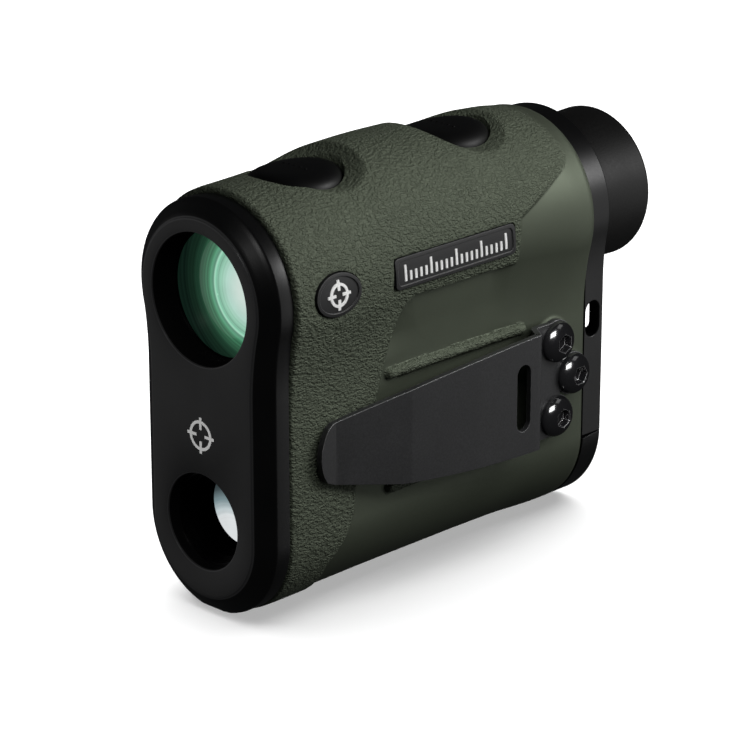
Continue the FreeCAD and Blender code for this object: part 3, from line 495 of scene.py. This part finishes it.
def button_cap(name, node, body, material):
    """An oval key that follows the round of the body across, with a soft shoulder and five moulded dots."""
    low, high = box_mm(node)
    centre = (low + high) / 2
    length, width, top = high[1] - low[1], high[0] - low[0], high[2] - 0.1
    turns = 132
    angle = np.linspace(0, 2 * math.pi, turns, endpoint=False)
    # share of the oval, depth below the domed top
    shoulder = [(0.0, 0.0), (0.2, 0.01), (0.4, 0.03), (0.55, 0.06), (0.66, 0.12), (0.75, 0.24),
                (0.82, 0.42), (0.88, 0.68), (0.93, 1.0), (0.965, 1.36), (0.99, 1.8), (1.0, 2.3),
                (1.0, 5.2)]
    rows = []
    for share, depth in shoulder:
        x = width / 2 * share * np.cos(angle)
        y = length / 2 * share * np.sin(angle)
        drop = KEY_CROWN * x ** 2
        z = top - depth - drop
        rows.append(np.stack([x, centre[1] + y, np.maximum(z, low[2])], axis=-1))
    points = np.concatenate(rows)
    bm = bmesh.new()
    verts = [bm.verts.new(p * MM) for p in points]
    for quad in grid_faces(len(shoulder), turns):
        corners = []
        for index in quad:
            vert = verts[index]
            if vert not in corners:
                corners.append(vert)
        if len(corners) > 2:
            bm.faces.new(corners)
    bmesh.ops.remove_doubles(bm, verts=bm.verts, dist=1e-6)
    for k in range(-2, 3):
        x = 1.3 * k
        height = top - KEY_CROWN * x * x + 0.02
        dot = bmesh.ops.create_uvsphere(bm, u_segments=16, v_segments=10, radius=0.32 * MM)
        for vert in dot["verts"]:
            vert.co.z *= 0.5
            vert.co += Vector((x, centre[1], height - 0.08)) * MM
    return mesh_piece(bm, name, material, body, [node], 60.0)


# ---- clip ----

CLIP_T = 1.1
CLIP_HALF_WIDTH = 10.85
CLIP_LOBE_R = 4.0
CLIP_LOBE_Y = 24.4
CLIP_SLOT_Y = 14.1
CLIP_SLOT_R = 1.75
CLIP_SLOT_HALF = 4.5
CLIP_TIP_Y = -33.6
LEAF_Y1 = 17.8
# outer face of the whole strip, rear to front, as (x, y, radius of the bend)
CLIP_PATH = [
    (17.2, 36.0, 0), (17.2, 20.5, 1.0), (20.15, 18.55, 0.35), (20.2, 17.7, 0.8), (19.9, 3.0, 60.0),
    (19.05, -13.2, 6.0), (18.7, -16.0, 6.0), (17.1, -29.8, 1.2), (17.65, CLIP_TIP_Y, 0),
]


def clip_face():
    """The outer face of the clip as a line of (x, y) points close together, from front to rear."""
    corners = np.array([(x, y) for x, y, _ in CLIP_PATH])
    line = rounded_corners(corners, [r for _, _, r in CLIP_PATH], 9)
    fine = []
    for a, b in zip(line[:-1], line[1:]):
        count = max(1, int(np.linalg.norm(b - a) / 0.4))
        fine += [a + (b - a) * t for t in np.linspace(0, 1, count, endpoint=False)]
    fine.append(line[-1])
    return np.array(fine)[::-1]


def arc_points(centre, radius, a0, a1, step=0.35):
    count = max(3, int(abs(math.radians(a1 - a0)) * radius / step))
    angles = np.radians(np.linspace(a0, a1, count))
    return [(centre[0] + radius * math.cos(a), centre[1] + radius * math.sin(a)) for a in angles]


def arc_through(start, via, end, step=0.35):
    """Points of the arc from start past via to end, without the end."""
    (ax, ay), (bx, by), (cx, cy) = start, via, end
    d = 2 * (ax * (by - cy) + bx * (cy - ay) + cx * (ay - by))
    a2, b2, c2 = ax * ax + ay * ay, bx * bx + by * by, cx * cx + cy * cy
    middle_x = (a2 * (by - cy) + b2 * (cy - ay) + c2 * (ay - by)) / d
    middle_y = (a2 * (cx - bx) + b2 * (ax - cx) + c2 * (bx - ax)) / d
    first = math.atan2(ay - middle_y, ax - middle_x)
    swing = math.atan2(cy - middle_y, cx - middle_x) - first
    swing -= 2 * math.pi * round(swing / (2 * math.pi))
    radius = math.hypot(ax - middle_x, ay - middle_y)
    count = max(3, int(abs(swing) * radius / step))
    angles = first + swing * np.arange(count) / count
    return [(middle_x + radius * math.cos(a), middle_y + radius * math.sin(a)) for a in angles]


def clip_loop():
    """Flat outline of the strip in Y and Z, about its middle line: tip, widening leaf, three lobes."""
    tip = arc_through((-31.4, -4.5), (CLIP_TIP_Y, 0.85), (-30.9, 6.2))
    wide = CLIP_HALF_WIDTH
    upper = arc_through((-30.9, 6.2), (-6.5, 9.1), (LEAF_Y1, wide)) + [(LEAF_Y1, wide), (CLIP_LOBE_Y, wide)]
    lower = arc_through((LEAF_Y1, -wide), (2.0, -10.15), (-15.2, -8.4)) + [(-15.2, -8.4)]
    (side_y, side_z), (rear_y, _), _ = SCREWS_YZ
    lobes = arc_points((side_y, side_z - CLIP_Z), CLIP_LOBE_R, 110, -73)
    lobes += arc_points((rear_y, 0), CLIP_LOBE_R, 143, 0)
    lobes += [(y, -z) for y, z in lobes[-2::-1]]
    points = tip[2:-1] + upper[2:] + lobes + [(CLIP_LOBE_Y, -wide)] + lower + [(-29.9, -4.86)]
    return np.array(points)


def inset_loop(loop, distance):
    """The closed loop moved to its right by the distance."""
    along = np.roll(loop, -1, axis=0) - np.roll(loop, 1, axis=0)
    along = along / np.linalg.norm(along, axis=1)[:, None]
    return loop + distance * np.stack([along[:, 1], -along[:, 0]], axis=-1)


def clip_strip(material):
    """One bent strip of steel with softened edges, cut flat and then bent along its path."""
    bevel = 0.05
    steps = [(bevel, 0.0), (0.0, bevel), (0.0, CLIP_T - bevel), (bevel, CLIP_T)]
    slot = arc_points((CLIP_SLOT_Y, CLIP_SLOT_HALF), CLIP_SLOT_R, 180, 0, 0.25)
    slot += arc_points((CLIP_SLOT_Y, -CLIP_SLOT_HALF), CLIP_SLOT_R, 0, -180, 0.25)
    loops = [clip_loop(), np.array(slot)]
    bm = bmesh.new()
    for sign, loop in zip((1, -1), loops):
        strip(bm, [[Vector((t, a, b)) for a, b in inset_loop(loop, sign * i)] for i, t in steps])
    for i, t in (steps[0], steps[-1]):
        filled_face(bm, [[Vector((t, a, b)) for a, b in inset_loop(loop, sign * i)]
                         for sign, loop in zip((1, -1), loops)])
    bmesh.ops.remove_doubles(bm, verts=bm.verts, dist=1e-4)
    for y in np.concatenate([np.arange(-33.3, 17.0, 0.6), np.arange(17.2, 23.0, 0.2)]):
        bmesh.ops.bisect_plane(bm, geom=list(bm.verts) + list(bm.edges) + list(bm.faces),
                               plane_co=(0, float(y), 0), plane_no=(0, 1, 0), dist=1e-4)
    path = clip_face()
    slope = np.gradient(path, axis=0)
    slope = slope / np.linalg.norm(slope, axis=1)[:, None]
    for vert in bm.verts:
        t, y, z = vert.co
        x = np.interp(y, path[:, 1], path[:, 0])
        nx, ny = np.interp(y, path[:, 1], slope[:, 1]), -np.interp(y, path[:, 1], slope[:, 0])
        vert.co = Vector((x - t * nx, y - t * ny, CLIP_Z + z)) * MM
    piece = mesh_piece(bm, "clip_strip", material, None, ["clip_base", "clip_leaf"], 12.0,
                       merge=1e-9)
    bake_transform(piece)
    return piece


# ---- clip screws ----

def hex_radius(angle, flat):
    """Distance from the middle to the side of a hexagon with that half width across flats."""
    return flat / np.cos((angle + math.pi / 6) % (math.pi / 3) - math.pi / 6)


def clip_bolts(material):
    """Three domed button heads, each with a hexagon socket."""
    turns = 144
    angle = np.linspace(0, 2 * math.pi, turns, endpoint=False)
    base = box_mm("clip_screws")[1][0] - 2.2
    # radius and height of the head from its underside to the rim of the socket
    head = [(3.6, 0.0), (3.78, 0.06), (3.8, 0.25), (3.78, 0.55), (3.66, 0.86), (3.44, 1.18), (3.12, 1.48),
            (2.7, 1.76), (2.3, 1.96), (2.05, 2.06), (1.92, 2.12)]
    points, faces = [], []
    for index, (y, z) in enumerate(SCREWS_YZ):
        rows = [(radius + 0 * angle, height) for radius, height in head]
        twist = angle + 0.5 * index
        for flat, height in ((1.6, 2.13), (1.54, 2.08), (1.42, 1.9), (1.36, 0.7), (0.9, 0.5), (0.02, 0.3)):
            rows.append((hex_radius(twist, flat), height))
        start = len(points) * turns
        for radius, height in rows:
            across, up = y + radius * np.cos(angle), z + radius * np.sin(angle)
            points.append(np.stack([base + height + 0 * angle, across, up], axis=-1))
        faces.append(grid_faces(len(rows), turns)[:, ::-1] + start)
    return make_object("clip_bolts", np.concatenate(points), np.concatenate(faces), material, "housing",
                       ["clip_screws"], 32.0)


# ---- eyecup and lenses ----

def eyecup_sleeve(material):
    low, high = box_mm("eyecup")
    y0, y1 = low[1], high[1]
    corners = [(11.5, y0), (13.6, y0), (14.1, y1), (11.9, y1), (11.55, y1 - 6.0)]
    profile = rounded_corners(corners, [0.1, 0.25, 0.9, 0.8, 0.5], 7)
    return turned("eyecup_sleeve", profile[::-1], TOP_Z, material, "eyecup_group",
                  ["eyecup"], 192, 50.0)


def lens_cap(name, node, rim_y, bulge, z, material):
    """A lens with a polished front face; a positive bulge swells towards the front."""
    low, high = box_mm(node)
    radius = (high[0] - low[0]) / 2
    sphere = (radius ** 2 + bulge ** 2) / (2 * bulge)
    profile = []
    for r in radius * np.sin(np.linspace(0.02, math.pi / 2, 28)):
        profile.append((r, rim_y - bulge + sphere - math.sqrt(sphere ** 2 - r ** 2)))
    profile += [(radius, high[1]), (0.02 * radius, high[1])]
    piece = turned(name, profile, z, material, "housing", [node], 160, 40.0)
    # its painted reflection is an emission, and it doesn't light the bore
    piece.visible_diffuse = False
    piece.visible_glossy = False
    return piece


# ---- materials ----

def node(tree, kind, inputs=None, **settings):
    """Adds a shader node; an input is a value or another node's socket."""
    made = tree.nodes.new("ShaderNode" + kind)
    for key, value in settings.items():
        setattr(made, key, value)
    for key, value in (inputs or {}).items():
        if isinstance(value, bpy.types.NodeSocket):
            tree.links.new(value, made.inputs[key])
        else:
            made.inputs[key].default_value = value
    return made


def math_node(tree, operation, *values):
    return node(tree, "Math", dict(enumerate(values)), operation=operation).outputs[0]


def noise(tree, coords, size_mm, detail=2.0, roughness=0.5):
    """Noise from 0 to 1 with features of about that size."""
    return node(tree, "TexNoise", {"Vector": coords, "Scale": 1000.0 / size_mm, "Detail": detail,
                                   "Roughness": roughness}).outputs[0]


def map_range(tree, value, low, high, to_low=0.0, to_high=1.0):
    return node(tree, "MapRange", {"Value": value, "From Min": low, "From Max": high, "To Min": to_low,
                                   "To Max": to_high}).outputs[0]


def mix_colour(tree, factor, a, b, blend="MIX"):
    made = node(tree, "Mix", data_type="RGBA", blend_type=blend, clamp_factor=True)
    for index, value in ((0, factor), (6, a), (7, b)):
        if isinstance(value, bpy.types.NodeSocket):
            tree.links.new(value, made.inputs[index])
        elif index == 0:
            made.inputs[index].default_value = value
        else:
            made.inputs[index].default_value = (*value, 1)
    return made.outputs[2]


def tinted(tree, colour, strength):
    """The colour multiplied by one value in all three channels."""
    grey = node(tree, "CombineColor", {0: strength, 1: strength, 2: strength}).outputs[0]
    return mix_colour(tree, 1.0, colour, grey, "MULTIPLY")


def fresh(name):
    """The material of one of the record's slots, emptied, with a new shader and object coordinates."""
    material = bpy.data.materials.get(name) or bpy.data.materials.new(name)
    material.use_nodes = True
    tree = material.node_tree
    tree.nodes.clear()
    out = node(tree, "OutputMaterial")
    shader = node(tree, "BsdfPrincipled")
    tree.links.new(shader.outputs[0], out.inputs["Surface"])
    coords = node(tree, "TexCoord").outputs["Object"]
    return material, tree, shader, coords


def edge_mask(tree, radius_mm, low=0.02, high=0.22):
    """1 on lightened edges, wear and painted highlight, and 0 on flat faces, with the normal of the
    softened edge.
    """
    soft = node(tree, "Bevel", {"Radius": radius_mm * MM}, samples=6).outputs[0]
    hard = node(tree, "NewGeometry").outputs["Normal"]
    along = node(tree, "VectorMath", {0: soft, 1: hard}, operation="DOT_PRODUCT").outputs["Value"]
    return map_range(tree, along, 1 - low, 1 - high), soft


def highlight_band_mask(tree, coords, y0, y1):
    """1 between two places along Y, in millimetres."""
    y = node(tree, "SeparateXYZ", {0: coords}).outputs["Y"]
    rise = map_range(tree, y, (y0 - 0.03) * MM, y0 * MM)
    return math_node(tree, "MULTIPLY", rise, map_range(tree, y, (y1 + 0.05) * MM, y1 * MM))


# size of the faint uneven patches in a finish, in millimetres
FINISH_PATCH = 9.0


def finish_of(name, colour, rough, vary=0.12, grain_mm=0.25, bump_mm=0.004, metallic=0.0, edge=None,
              highlight_band=None, specular=0.5, coat=0.0, speck=0.07):
    """A painted, moulded or machined finish: mottled colour and gloss, fine grain, and light metallic edges
    that are partly wear and partly painted highlight.

    edge is (colour, width in millimetres, amount) of those edges, and highlight_band is a stretch of Y that
    is lightened like an edge, a painted highlight line."""
    material, tree, shader, coords = fresh(name)
    patches = noise(tree, coords, FINISH_PATCH, 3.0)
    fine = noise(tree, coords, grain_mm, 2.0, 0.6)
    dark = tuple(c * (1 - vary) for c in colour)
    light = tuple(min(1.0, c * (1 + vary)) for c in colour)
    tone = mix_colour(tree, map_range(tree, patches, 0.3, 0.7), dark, light)
    dots = map_range(tree, fine, 0.35, 0.65, 1 - speck, 1 + speck)
    tone = tinted(tree, tone, dots)
    bump = node(tree, "Bump", {"Strength": 1.0, "Distance": bump_mm * MM, "Height": fine})
    shader.inputs["Metallic"].default_value = metallic
    if edge:
        wear_and_highlight, width, amount = edge
        mask, soft = edge_mask(tree, width)
        if highlight_band:
            mask = math_node(tree, "MAXIMUM", mask, highlight_band_mask(tree, coords, *highlight_band))
        mask = math_node(tree, "MULTIPLY", mask, amount)
        # lightened edges: partly wear, partly painted highlight
        tone = mix_colour(tree, mask, tone, wear_and_highlight)
        tree.links.new(math_node(tree, "MAXIMUM", mask, metallic), shader.inputs["Metallic"])
        tree.links.new(soft, bump.inputs["Normal"])
    tree.links.new(tone, shader.inputs["Base Color"])
    gloss = math_node(tree, "ADD", map_range(tree, patches, 0.3, 0.7, rough - 0.03, rough + 0.03),
                      map_range(tree, fine, 0.3, 0.7, -0.03, 0.03))
    tree.links.new(gloss, shader.inputs["Roughness"])
    shader.inputs["Specular IOR Level"].default_value = specular
    shader.inputs["Coat Weight"].default_value = coat
    tree.links.new(bump.outputs[0], shader.inputs["Normal"])
    return material


# the darker and the lighter green of the rubber
ARMOR_GREENS = ((0.054, 0.062, 0.0445), (0.065, 0.075, 0.0535))


def armor_rubber():
    """Green rubber: pebbled where the grain mask is 1 and almost smooth where it is 0."""
    material, tree, shader, coords = fresh("armor_rubber")
    mask = node(tree, "Attribute", attribute_name="grain").outputs["Fac"]
    # uneven flat-topped lumps, a little longer along the body, with narrow grooves between them
    stretched = node(tree, "VectorMath", {0: coords, 1: (1.0, 0.72, 1.2)}, operation="MULTIPLY").outputs[0]
    lumps = map_range(tree, noise(tree, stretched, 0.62, 1.5, 0.6), 0.40, 0.56)
    creases = node(tree, "TexVoronoi", {"Vector": stretched, "Scale": 1000.0 / 0.8},
                   feature="DISTANCE_TO_EDGE").outputs["Distance"]
    creases = map_range(tree, map_range(tree, creases, 0.0, 0.16), 0.0, 1.0, 0.55, 1.0)
    pebble = math_node(tree, "MULTIPLY", lumps, creases)
    height = math_node(tree, "ADD", math_node(tree, "MULTIPLY", pebble, 0.75),
                       math_node(tree, "MULTIPLY", noise(tree, coords, 0.28, 3.0, 0.6), 0.5))
    fine = noise(tree, coords, 0.16, 2.0, 0.6)
    relief = math_node(tree, "ADD", math_node(tree, "MULTIPLY", height, mask),
                       math_node(tree, "MULTIPLY", fine, 0.025))
    patches = noise(tree, coords, 14.0, 3.0)
    tone = mix_colour(tree, map_range(tree, patches, 0.3, 0.7), *ARMOR_GREENS)
    # painted shade: the grooves between the lumps are darker and the lump tops lighter; the smooth part is
    # darker by a constant
    pits = map_range(tree, height, 0.25, 0.95, 0.92, 1.06)
    groove_shade_smooth_darker = math_node(tree, "ADD", math_node(tree, "MULTIPLY", pits, mask),
                         math_node(tree, "MULTIPLY", math_node(tree, "SUBTRACT", 1.0, mask), 0.74))
    tone = tinted(tree, tone, groove_shade_smooth_darker)
    tree.links.new(tone, shader.inputs["Base Color"])
    tree.links.new(math_node(tree, "ADD", map_range(tree, mask, 0.0, 1.0, 0.52, 0.62),
                             map_range(tree, fine, 0.3, 0.7, -0.04, 0.04)), shader.inputs["Roughness"])
    shader.inputs["Specular IOR Level"].default_value = 1.0
    shader.inputs["Specular Tint"].default_value = (0.86, 1.0, 0.74, 1)
    bump = node(tree, "Bump", {"Strength": 1.0, "Distance": 0.3 * MM, "Height": relief})
    tree.links.new(bump.outputs[0], shader.inputs["Normal"])
    return material


def painted_reflection_glass(name, reflection_centre_mm, radius, reflection_colours, ring_share, back_y):
    """A coated lens in front of back_y, with a painted reflection: an emission glow round a point off its
    middle, with thin rings, the same in every view.
    """
    material, tree, shader, coords = fresh(name)
    place = node(tree, "VectorMath", {0: coords, 1: tuple(c * MM for c in reflection_centre_mm)}, operation="SUBTRACT")
    flat = node(tree, "VectorMath", {0: place.outputs[0], 1: (1, 0, 1)}, operation="MULTIPLY").outputs[0]
    far = node(tree, "VectorMath", {0: flat}, operation="LENGTH").outputs["Value"]
    share = math_node(tree, "DIVIDE", far, radius * MM)
    ramp = node(tree, "ValToRGB", {0: share})
    stops = ramp.color_ramp.elements
    stops[0].position, stops[0].color = reflection_colours[0][0], (*reflection_colours[0][1], 1)
    stops[1].position, stops[1].color = reflection_colours[-1][0], (*reflection_colours[-1][1], 1)
    for position, colour in reflection_colours[1:-1]:
        stop = stops.new(position)
        stop.color = (*colour, 1)
    rings = node(tree, "TexNoise", {"W": share, "Scale": 26.0, "Detail": 2.0}, noise_dimensions="1D")
    bands = map_range(tree, rings.outputs[0], 0.3, 0.7, -ring_share, ring_share)
    bands = math_node(tree, "MULTIPLY", bands, map_range(tree, share, 0.3, 0.55))
    cloud = map_range(tree, noise(tree, coords, 3.0, 2.0), 0.3, 0.7, 0.96, 1.04)
    tone = tinted(tree, ramp.outputs[0], math_node(tree, "ADD", bands, cloud))
    tree.links.new(tone, shader.inputs["Emission Color"])
    tree.links.new(mix_colour(tree, 0.06, (0.002, 0.003, 0.003), tone), shader.inputs["Base Color"])
    # the painted reflection glows only on the lens's front face, in front of back_y
    depth = node(tree, "SeparateXYZ", {0: coords}).outputs["Y"]
    tree.links.new(math_node(tree, "LESS_THAN", depth, back_y * MM), shader.inputs["Emission Strength"])
    gloss = map_range(tree, noise(tree, coords, 3.0), 0.0, 1.0, 0.04, 0.07)
    tree.links.new(gloss, shader.inputs["Roughness"])
    shader.inputs["Coat Weight"].default_value = 0.6
    shader.inputs["Coat Roughness"].default_value = 0.03
    # the painted reflection is an emission, and it doesn't light the bore
    material.cycles.emission_sampling = "NONE"
    return material


def studio_floor():
    material, tree, shader, coords = fresh("studio_floor")
    tone = mix_colour(tree, noise(tree, coords, 400.0), (0.9, 0.9, 0.9), (0.94, 0.94, 0.94))
    tree.links.new(tone, shader.inputs["Base Color"])
    shader.inputs["Roughness"].default_value = 1.0
    shader.inputs["Specular IOR Level"].default_value = 0.0
    return material


rubber = armor_rubber()
# the light edges of the shell, plate, screws and clip are partly wear and partly painted highlight; the
# shell's lightened stretch of Y paints a light line round the front rim of the face and the bores
shell = finish_of("black_shell", (0.010, 0.010, 0.0105), 0.36, grain_mm=0.2, bump_mm=0.003,
                  edge=((0.5, 0.5, 0.51), 0.12, 0.25), highlight_band=(FACE_Y + 0.05, FACE_Y + 0.32), speck=0.12)
key_rubber = finish_of("button_rubber", (0.009, 0.009, 0.0095), 0.46, bump_mm=0.006)
cup_rubber = finish_of("eyecup_rubber", (0.016, 0.0155, 0.015), 0.55, grain_mm=0.35, bump_mm=0.02,
                       speck=0.3)
finish_of("plate_black", (0.009, 0.009, 0.0095), 0.45, bump_mm=0.003, edge=((0.3, 0.3, 0.3), 0.15, 0.5))
finish_of("mark_white", (0.78, 0.78, 0.77), 0.35, vary=0.05, bump_mm=0.003)
finish_of("inner_plastic", (0.008, 0.008, 0.0085), 0.5)
finish_of("seal_rubber", (0.012, 0.012, 0.012), 0.6)
finish_of("steel_screw", (0.35, 0.35, 0.34), 0.3, metallic=1.0, grain_mm=0.15,
          edge=((0.6, 0.6, 0.6), 0.1, 0.6))
bolt_black = finish_of("black_screw", (0.004, 0.004, 0.0044), 0.14, grain_mm=0.3, bump_mm=0.001,
                       specular=0.8, edge=((0.7, 0.7, 0.7), 0.12, 0.8))
finish_of("brass", (0.6, 0.42, 0.16), 0.28, metallic=1.0)
strip_steel = finish_of("clip_steel", (0.022, 0.0222, 0.0235), 0.43, grain_mm=0.3, bump_mm=0.008,
                        edge=((0.8, 0.8, 0.82), 0.14, 0.8), speck=0.3)
finish_of("black_aluminium", (0.012, 0.012, 0.013), 0.3, metallic=0.6)
finish_of("clear_glass", (0.02, 0.025, 0.03), 0.05, bump_mm=0.0, coat=0.5)
finish_of("circuit_board", (0.01, 0.09, 0.03), 0.4)
finish_of("board_parts", (0.02, 0.02, 0.022), 0.4)
finish_of("switch_plastic", (0.02, 0.02, 0.02), 0.4)
finish_of("sensor_can", (0.5, 0.5, 0.48), 0.3, metallic=1.0)
finish_of("contact_steel", (0.5, 0.5, 0.48), 0.3, metallic=1.0)
finish_of("battery_case", (0.12, 0.16, 0.22), 0.35)
# both lens finishes are a painted reflection: an emission glow round a point off each lens's middle
green_painted_reflection = painted_reflection_glass("objective_glass", (8.7, 0, TOP_Z + 2.6), 17.5, [
    (0.0, (0.62, 0.74, 0.68)), (0.22, (0.60, 0.72, 0.66)), (0.36, (0.44, 0.66, 0.57)),
    (0.44, (0.30, 0.57, 0.43)), (0.52, (0.20, 0.48, 0.33)), (0.54, (0.36, 0.66, 0.50)),
    (0.555, (0.14, 0.38, 0.25)), (0.6, (0.06, 0.23, 0.125)), (0.69, (0.034, 0.118, 0.064)),
    (0.78, (0.012, 0.042, 0.024)), (0.88, (0.007, 0.022, 0.013)), (1.0, (0.004, 0.012, 0.008)),
], 0.28, -37.5)
blue_painted_reflection = painted_reflection_glass("laser_glass", (-1.0, 0, LASER_Z - 9.0), 14.0, [
    (0.0, (0.72, 0.75, 0.76)), (0.5, (0.74, 0.77, 0.78)), (0.6, (0.5, 0.58, 0.6)), (0.71, (0.2, 0.28, 0.3)),
    (0.84, (0.05, 0.07, 0.076)), (1.0, (0.008, 0.012, 0.014)),
], 0.05, -34.0)

# ---- pieces ----

armor_skin(rubber)
bezel(shell)
button_cap("front_key", "front_button", "front_button_group", key_rubber)
button_cap("rear_key", "rear_button", "rear_button_group", key_rubber)
clip_strip(strip_steel)
clip_bolts(bolt_black)
eyecup_sleeve(cup_rubber)
lens_cap("objective_cap", "objective_front_lens", -39.2, 1.4, TOP_Z, green_painted_reflection)
lens_cap("laser_cap", "laser_lens", -35.6, 0.9, LASER_Z, blue_painted_reflection)


# ---- floor, light and camera ----

# the floor lies just under the base, so that the two faces don't coincide
FLOOR_DROP = 0.00005
FLOOR_HALF = 3.0


def area_light(name, place, size, power, aim=(0, 0, 0.035)):
    data = bpy.data.lights.new(name, "AREA")
    data.shape = "RECTANGLE"
    data.size, data.size_y = size
    data.energy = power
    lamp = bpy.data.objects.new(name, data)
    lamp.location = place
    lamp.rotation_euler = (Vector(aim) - Vector(place)).to_track_quat("-Z", "Y").to_euler()
    bpy.context.scene.collection.objects.link(lamp)
    return lamp


def link_light(lamp, pieces, state="INCLUDE"):
    """The lamp lights those pieces alone, or everything but those pieces."""
    group = bpy.data.collections.new(lamp.name + "_linked")
    for piece in pieces:
        group.objects.link(piece)
    for entry in group.collection_objects:
        entry.light_linking.link_state = state
    lamp.light_linking.receiver_collection = group


def stage():
    corners = [(FLOOR_HALF * a, FLOOR_HALF * b, 0) for a, b in ((-1, -1), (1, -1), (1, 1), (-1, 1))]
    mesh = bpy.data.meshes.new("floor")
    mesh.from_pydata(corners, [], [(0, 1, 2, 3)])
    mesh.materials.append(studio_floor())
    floor = bpy.data.objects.new("floor", mesh)
    bpy.context.scene.collection.objects.link(floor)
    floor.location.z = -FLOOR_DROP
    floor.visible_diffuse = False
    floor.visible_glossy = False
    floor.visible_shadow = False
    return floor


floor = stage()
black = [bpy.data.objects[name] for name in
         ("bezel_shell", "rear_frame", "battery_door", "eyecup_sleeve", "front_key", "rear_key")]
marks = [bpy.data.objects[name] for name in ("scale_ticks", "badge_marks", "front_emblem")]
bolts = bpy.data.objects["clip_bolts"]
strip_piece = bpy.data.objects["clip_strip"]
# a long key from above, low cards at both sides and behind, and small lamps for single pieces
key = area_light("key", (0.13, 0.07, 0.185), (0.40, 0.09), 0.33, aim=(0.006, 0.08, 0.06))
link_light(key, black + [floor, bolts], "EXCLUDE")
left_card = area_light("left_card", (-0.42, -0.36, -0.02), (0.55, 0.46), 0.17)
link_light(left_card, [floor, bolts, bpy.data.objects["armor_skin"]], "EXCLUDE")
right_card = area_light("right_card", (0.40, 0.42, -0.03), (0.45, 0.35), 0.30)
link_light(right_card, [floor, bolts], "EXCLUDE")
sheen = area_light("sheen", (0.38, 0.40, 0.275), (0.16, 0.16), 0.88)
link_light(sheen, [floor, bolts], "EXCLUDE")
spark = area_light("spark", (0.32, -0.10, 0.27), (0.26, 0.18), 4.0, aim=(0.02, 0.03, 0.03))
link_light(spark, [bolts])
edge_light = area_light("edge_light", (0.25, 0.30, 0.45), (0.30, 0.20), 0.25)
link_light(edge_light, [bolts, strip_piece])
rim_light = area_light("rim_light", (0.19, -0.41, 0.41), (0.12, 0.12), 0.25)
link_light(rim_light, [bpy.data.objects["bezel_shell"]])
back_card = area_light("back_card", (-0.46, 0.40, 0.0), (0.45, 0.40), 3.0)
back_card.visible_glossy = False
link_light(back_card, [floor], "EXCLUDE")
mark_light = area_light("mark_light", (0.25, -0.45, 0.15), (0.1, 0.1), 1.2)
link_light(mark_light, marks)
over = area_light("over_floor", (-0.25, 0.30, 0.9), (1.9, 1.9), 27.0)
link_light(over, [floor])
fill = area_light("floor_fill", (0.0, 0.0, 1.4), (1.4, 1.4), 14.0)
fill.data.use_shadow = False
link_light(fill, [floor])

world = bpy.data.worlds.new("studio")
bpy.context.scene.world = world
world.use_nodes = True
sky = world.node_tree.nodes["Background"]
sky.inputs["Color"].default_value = (0.95, 0.97, 1.0, 1)
sky.inputs["Strength"].default_value = 0.02

# the camera looks from the front right, a little above
turn, rise, far = math.radians(44.595), math.radians(19.796), 0.6035
target = Vector((0, -0.00303, 0.03244))
back = Vector((math.sin(turn) * math.cos(rise), -math.cos(turn) * math.cos(rise), math.sin(rise)))
view = bpy.data.cameras.new("view")
view.lens, view.sensor_width = 163.64, 36.0
view.clip_start, view.clip_end = 0.05, 20.0
camera = bpy.data.objects.new("view", view)
camera.location = target + back * far
camera.rotation_euler = (-back).to_track_quat("-Z", "Y").to_euler()
bpy.context.scene.collection.objects.link(camera)
bpy.context.scene.camera = camera
bpy.context.scene.view_settings.view_transform = "Standard"
